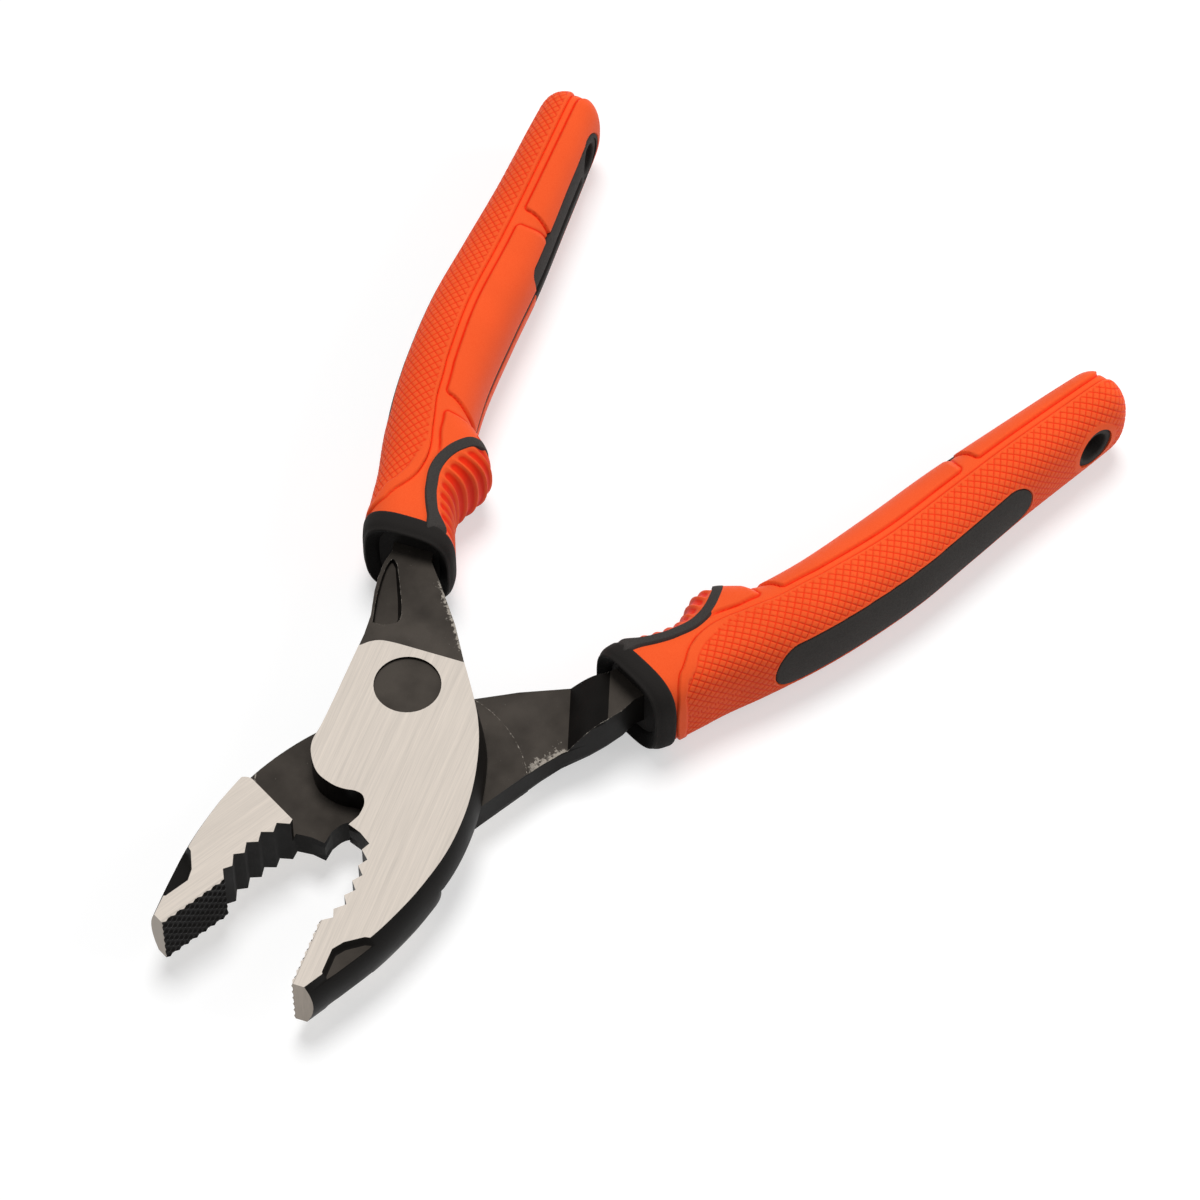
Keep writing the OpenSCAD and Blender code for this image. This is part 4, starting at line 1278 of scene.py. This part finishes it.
def brushed_lines():
    """Streaks of a ground surface along one direction."""
    tree, given, result = new_group(
        "Brushed lines", [("Stretch", VECTOR, (60.0, 4200.0, 4200.0))], ["Height", "Streaks"],
    )
    place = add_node(tree, "TexCoord")["Object"]
    stretched = add_node(tree, "VectorMath", {0: place, 1: given["Stretch"]}, operation="MULTIPLY")["Vector"]
    fine = noise(tree, stretched, 1.0, 4.0, 0.65)
    broad = noise(tree, stretched, 0.23, 2.0)
    streaks = add_node(tree, "Mix", {"Factor": 0.4, "A": fine, "B": broad})["Result"]
    feed(tree, result, {"Height": fine, "Streaks": streaks})
    return tree


def forge_speckle():
    """Scale and bare specks of a forged surface."""
    tree, given, result = new_group(
        "Forge speckle", [("Scale", FLOAT, 900.0), ("Share", FLOAT, 0.6)],
        ["Height", "Speckle", "Patches"],
    )
    place = add_node(tree, "TexCoord")["Object"]
    rough = noise(tree, place, given["Scale"], 6.0, 0.7)
    full = maths(tree, "ADD", given["Share"], 0.08)
    speckle = value_between(tree, rough, 0.0, 1.0, given["Share"], full)
    patches = noise(tree, place, 120.0, 3.0)
    feed(tree, result, {"Height": rough, "Speckle": speckle, "Patches": patches})
    return tree


# Worn edges of a neck in its lever's frame: a point of the edge, the way inwards, its reach along the lever,
# and the width of the wear; the first edge lies on the upper face, the second on the lapped one
WORN_EDGES = (
    ((31.6, -5.5), (-0.562, 0.827), (25.0, 42.0), 1.6),
    ((26.0, 9.1), (0.06, -0.998), (20.5, 31.0), 2.8),
)
# Height between the two faces
FACE_SPLIT = 1.0
# Middle and radius of the turned lap face
LAP_MIDDLE = (1.08, -4.09)
LAP_RADIUS = 24.0


def worn_flash_and_rim_highlight():
    """Where the finish of the necks is worn: along an edge of each face, and round the lap face, whose bright
    rim is partly a painted highlight of its step.
    """
    tree, _, result = new_group("Worn flash", [], ["Wear"])
    place = add_node(tree, "TexCoord")["Object"]
    x, y, z = add_node(tree, "SeparateXYZ", {"Vector": place})

    def times(first, second):
        return maths(tree, "MULTIPLY", first, second)

    def ramp(value, low, high, first=0.0, last=1.0):
        return value_between(tree, value, first, last, low * MM, high * MM)

    above = ramp(z, FACE_SPLIT - 0.1, FACE_SPLIT + 0.1)
    below = maths(tree, "SUBTRACT", 1.0, above)
    bands = []
    for face, (point, inwards, reach, width) in zip((above, below), WORN_EDGES):
        depth = maths(tree, "ADD", times(x, inwards[0]), times(y, inwards[1]))
        first = point[0] * inwards[0] + point[1] * inwards[1]
        band = times(ramp(depth, first, first + width, 1.0, 0.0), face)
        band = times(band, ramp(x, reach[0], reach[0] + 2))
        bands.append(times(band, ramp(x, reach[1], reach[1] - 2)))
    across = maths(tree, "SUBTRACT", x, LAP_MIDDLE[0] * MM)
    along = maths(tree, "SUBTRACT", y, LAP_MIDDLE[1] * MM)
    away = maths(tree, "SQRT", maths(tree, "ADD", times(across, across), times(along, along)))
    from_rim = maths(tree, "ABSOLUTE", maths(tree, "SUBTRACT", away, LAP_RADIUS * MM))
    # Bright rim round the lap face: partly wear, partly a painted highlight of its small step
    rim = times(ramp(from_rim, 0.0, 0.3, 0.8, 0.0), below)
    edges = maths(tree, "MAXIMUM", *bands)
    feed(tree, result, {"Wear": maths(tree, "MAXIMUM", edges, rim)})
    return tree


# Materials

# Threshold of the bare specks where the flash is worn through
WORN_SHARE = 0.38
# Low index, so that the oxide has little sheen
FORGED_IOR = 1.15


def new_material(name):
    """The node tree and the shader of a new material."""
    material = bpy.data.materials.new(name)
    material.use_nodes = True
    return material.node_tree, material.node_tree.nodes["Principled BSDF"]


def patchy(tree, factor, first, second):
    """A colour from first to second over the middle of a noise."""
    return mix_colours(tree, value_between(tree, factor, 0.0, 1.0, 0.35, 0.65), first, second)


def ground_steel(name, lines, tone, stretch, contrast):
    """Bare ground steel with streaks."""
    tree, shader = new_material(name)
    ground = add_node(tree, "Group", {"Stretch": stretch}, node_tree=lines)
    streaks = ground["Streaks"]
    share = value_between(tree, streaks, 0.0, 1.0, 0.33, 0.67)
    feed(tree, shader, {
        "Base Color": mix_colours(tree, share, scaled(tone, 1 - contrast), scaled(tone, 1 + contrast)),
        "Roughness": value_between(tree, streaks, 0.36, 0.52, 0.3, 0.7),
        "Metallic": 1.0,
        "Normal": bump(tree, ground["Height"], 0.00001, 0.5),
    })


def black_forging(name, speckle, tone, bright, scale, share, relief, rough, flash=None):
    """Black oxide over forged steel, with bare specks, more of them where the flash is worn."""
    tree, shader = new_material(name)
    if flash:
        wear = add_node(tree, "Group", node_tree=flash)["Wear"]
        share = value_between(tree, wear, share, WORN_SHARE)
    forged = add_node(tree, "Group", {"Scale": scale, "Share": share}, node_tree=speckle)
    base = patchy(tree, forged["Patches"], scaled(tone, 0.75), scaled(tone, 1.3))
    feed(tree, shader, {
        "Base Color": mix_colours(tree, forged["Speckle"], base, bright),
        "Roughness": value_between(tree, forged["Patches"], rough - 0.06, rough + 0.08, 0.35, 0.65),
        "Metallic": forged["Speckle"],
        "IOR": FORGED_IOR,
        "Normal": bump(tree, forged["Height"], relief, 0.6),
    })


def moulded(name, grain, tone, deep, scale, relief, rough, index):
    """Moulded plastic with a fine grain, darker in its pores, and painted shade in its grooves."""
    tree, shader = new_material(name)
    surface = add_node(tree, "Group", {"Scale": scale}, node_tree=grain)
    # The groove value of each point sets how much painted shade the colour gets
    groove = add_node(tree, "Attribute", attribute_name="groove")["Fac"]
    pores = value_between(tree, surface["Grain"], 0.18, 0.0, 0.35, 0.6)
    shade = patchy(tree, surface["Patches"], scaled(tone, 0.93), tone)
    feed(tree, shader, {
        "Base Color": mix_colours(tree, maths(tree, "MAXIMUM", groove, pores), shade, deep),
        "Roughness": value_between(tree, surface["Grain"], rough + 0.08, rough - 0.06, 0.3, 0.7),
        "IOR": index,
        "Normal": bump(tree, surface["Height"], relief, 0.7),
    })


class PLIERS_OT_finishes(bpy.types.Operator):
    """Materials of the pliers; their names differ from those of the loaded CAD materials"""

    bl_idname = "pliers.finishes"
    bl_label = "Finishes"

    def execute(self, context):
        tones = context.scene.pliers_finishes
        tone = {key: tuple(getattr(tones, key)) for key in tones.__annotations__}
        bright, orange, dark = tone["bright"], tone["orange"], tone["dark"]
        grain, lines, speckle = moulded_grain(), brushed_lines(), forge_speckle()
        ground_steel("ground_steel", lines, tone["ground"], stretch=(120.0, 8000.0, 8000.0), contrast=0.13)
        # Painted shade: the tip steel is darker than the ground steel on the end faces
        ground_steel("tip_steel", lines, tone["tip"], stretch=(900.0, 4200.0, 300.0), contrast=0.16)
        ground_steel("plated_steel", lines, tone["plated"], stretch=(1500.0, 1500.0, 1500.0), contrast=0.08)
        # This oxide carries painted shade on walls, knurl, ramp and lower nose
        black_forging(
            "black_oxide", speckle, tone["oxide"], scaled(bright, 0.3),
            scale=1500.0, share=0.74, relief=0.00003, rough=0.40,
        )
        black_forging(
            "forged_black", speckle, tone["forged"], bright,
            scale=1300.0, share=0.68, relief=0.00010, rough=0.52, flash=worn_flash_and_rim_highlight(),
        )
        black_forging(
            "worn_edge", speckle, tone["forged"], bright,
            scale=900.0, share=0.47, relief=0.00012, rough=0.45,
        )
        # The orange's groove tone is painted shade
        moulded(
            "soft_orange", grain, orange, tone["deep_orange"],
            scale=5200.0, relief=0.00002, rough=0.50, index=1.22,
        )
        # Painted shade: the cores get a darkened copy of the dark moulding, and the stiff dark moulding gets
        # a much darker groove tone
        core = scaled(dark, 0.25)
        for name, shade, deep in (("stiff_dark", dark, scaled(dark, 0.12)), ("core_dark", core, core)):
            moulded(name, grain, shade, deep, scale=3600.0, relief=0.00006, rough=0.66, index=1.14)
        return {"FINISHED"}


# Stage

# Half width of the floor and its depth under the table plane, in metres
FLOOR_HALF = 2.5
FLOOR_DEPTH = 0.0001
# Places of the lamps in metres, spread of the key light and width of the side lamp
KEY_PLACE = (0.27, 0.13, 0.97)
KEY_SPREAD = math.radians(26)
SIDE_PLACE = (0.45, -0.72, 0.42)
SIDE_WIDTH = 0.6


def link_item(name, data, place, target):
    """A lamp or camera that looks from a place at a target."""
    item = bpy.data.objects.new(name, data)
    item.location = place
    bpy.context.scene.collection.objects.link(item)
    way = Vector(target) - item.location
    item.rotation_euler = way.to_track_quat("-Z", "Y").to_euler()
    return item


def add_lamp(name, kind, place, target, **settings):
    """Soft lamp, left out of reflections so that metal shows its own tone."""
    data = bpy.data.lights.new(name, kind)
    for key, value in settings.items():
        setattr(data, key, value)
    link_item(name, data, place, target).visible_glossy = False


def seen_rays(tree):
    """1 for rays that show the stage itself: camera, glossy and transmission rays."""
    rays = add_node(tree, "LightPath")
    seen = maths(tree, "MAXIMUM", rays["Is Camera Ray"], rays["Is Glossy Ray"])
    return maths(tree, "MAXIMUM", seen, rays["Is Transmission Ray"])


def set_world(settings):
    """White surroundings that light the object softly."""
    world = bpy.data.worlds.new("Studio")
    bpy.context.scene.world = world
    world.use_nodes = True
    tree = world.node_tree
    strength = value_between(tree, seen_rays(tree), settings.sky, 1.0)
    feed(tree, tree.nodes["Background"], {"Color": (1, 1, 1, 1), "Strength": strength})


def add_floor(settings):
    """Pale floor that shows white to the camera and keeps the shadow."""
    tree, shader = new_material("pale_floor")
    feed(tree, shader, {
        "Base Color": (*settings.floor, 1),
        "Roughness": 1.0,
        "Specular IOR Level": 0.0,
        "Emission Color": (1, 1, 1, 1),
        "Emission Strength": maths(tree, "MULTIPLY", seen_rays(tree), settings.glow),
    })
    corners = [(x * FLOOR_HALF, y * FLOOR_HALF, 0) for x, y in ((-1, -1), (1, -1), (1, 1), (-1, 1))]
    mesh = bpy.data.meshes.new("floor")
    mesh.from_pydata(corners, [], [(0, 1, 2, 3)])
    mesh.materials.append(bpy.data.materials["pale_floor"])
    floor = bpy.data.objects.new("floor", mesh)
    floor.location.z = -FLOOR_DEPTH
    bpy.context.scene.collection.objects.link(floor)


class PLIERS_OT_stage(bpy.types.Operator):
    """Floor, lamps and camera"""

    bl_idname = "pliers.stage"
    bl_label = "Stage"

    def execute(self, context):
        settings = context.scene.pliers_stage
        target = tuple(settings.camera_target)
        set_world(settings)
        add_floor(settings)
        add_lamp("key_light", "SUN", KEY_PLACE, target, energy=settings.key, angle=KEY_SPREAD)
        add_lamp("side_lamp", "AREA", SIDE_PLACE, target, energy=settings.fill, size=SIDE_WIDTH)
        data = bpy.data.cameras.new("photo_camera")
        data.lens = settings.lens
        data.sensor_width = 36.0
        data.sensor_fit = "HORIZONTAL"
        context.scene.camera = link_item("photo_camera", data, settings.camera_place, target)
        context.scene.view_settings.view_transform = "Standard"
        return {"FINISHED"}


class VIEW3D_PT_pliers(bpy.types.Panel):
    """Lists the pieces of the pliers and their sizes"""

    bl_label = "Slip joint pliers"
    bl_idname = "VIEW3D_PT_pliers"
    bl_space_type = "VIEW_3D"
    bl_region_type = "UI"
    bl_category = "Pliers"

    def draw(self, context):
        layout = self.layout
        for operator in OPERATORS:
            layout.operator(operator.bl_idname)
        for name in GROUPS:
            group = getattr(context.scene, name)
            box = layout.box()
            for key in group.__annotations__:
                box.prop(group, key)


GROUPS = {
    "pliers_lever": LeverSizes,
    "pliers_grip": GripSizes,
    "pliers_finishes": Finishes,
    "pliers_stage": StageSettings,
}
OPERATORS = (
    PLIERS_OT_stage, PLIERS_OT_finishes, PLIERS_OT_levers, PLIERS_OT_pivot, PLIERS_OT_skins,
    PLIERS_OT_thumb_pads, PLIERS_OT_collars, PLIERS_OT_inlays,
)


def register():
    for name, group in GROUPS.items():
        bpy.utils.register_class(group)
        setattr(bpy.types.Scene, name, PointerProperty(type=group))
    for item in (*OPERATORS, VIEW3D_PT_pliers):
        bpy.utils.register_class(item)


def unregister():
    for item in (VIEW3D_PT_pliers, *reversed(OPERATORS)):
        bpy.utils.unregister_class(item)
    for name, group in GROUPS.items():
        delattr(bpy.types.Scene, name)
        bpy.utils.unregister_class(group)


def main():
    register()
    bpy.ops.pliers.stage()
    bpy.ops.pliers.finishes()
    bpy.ops.pliers.levers()
    bpy.ops.pliers.pivot()
    bpy.ops.pliers.skins()
    bpy.ops.pliers.thumb_pads()
    bpy.ops.pliers.collars()
    bpy.ops.pliers.inlays()
    bpy.context.view_layer.update()


if __name__ == "__main__":
    main()
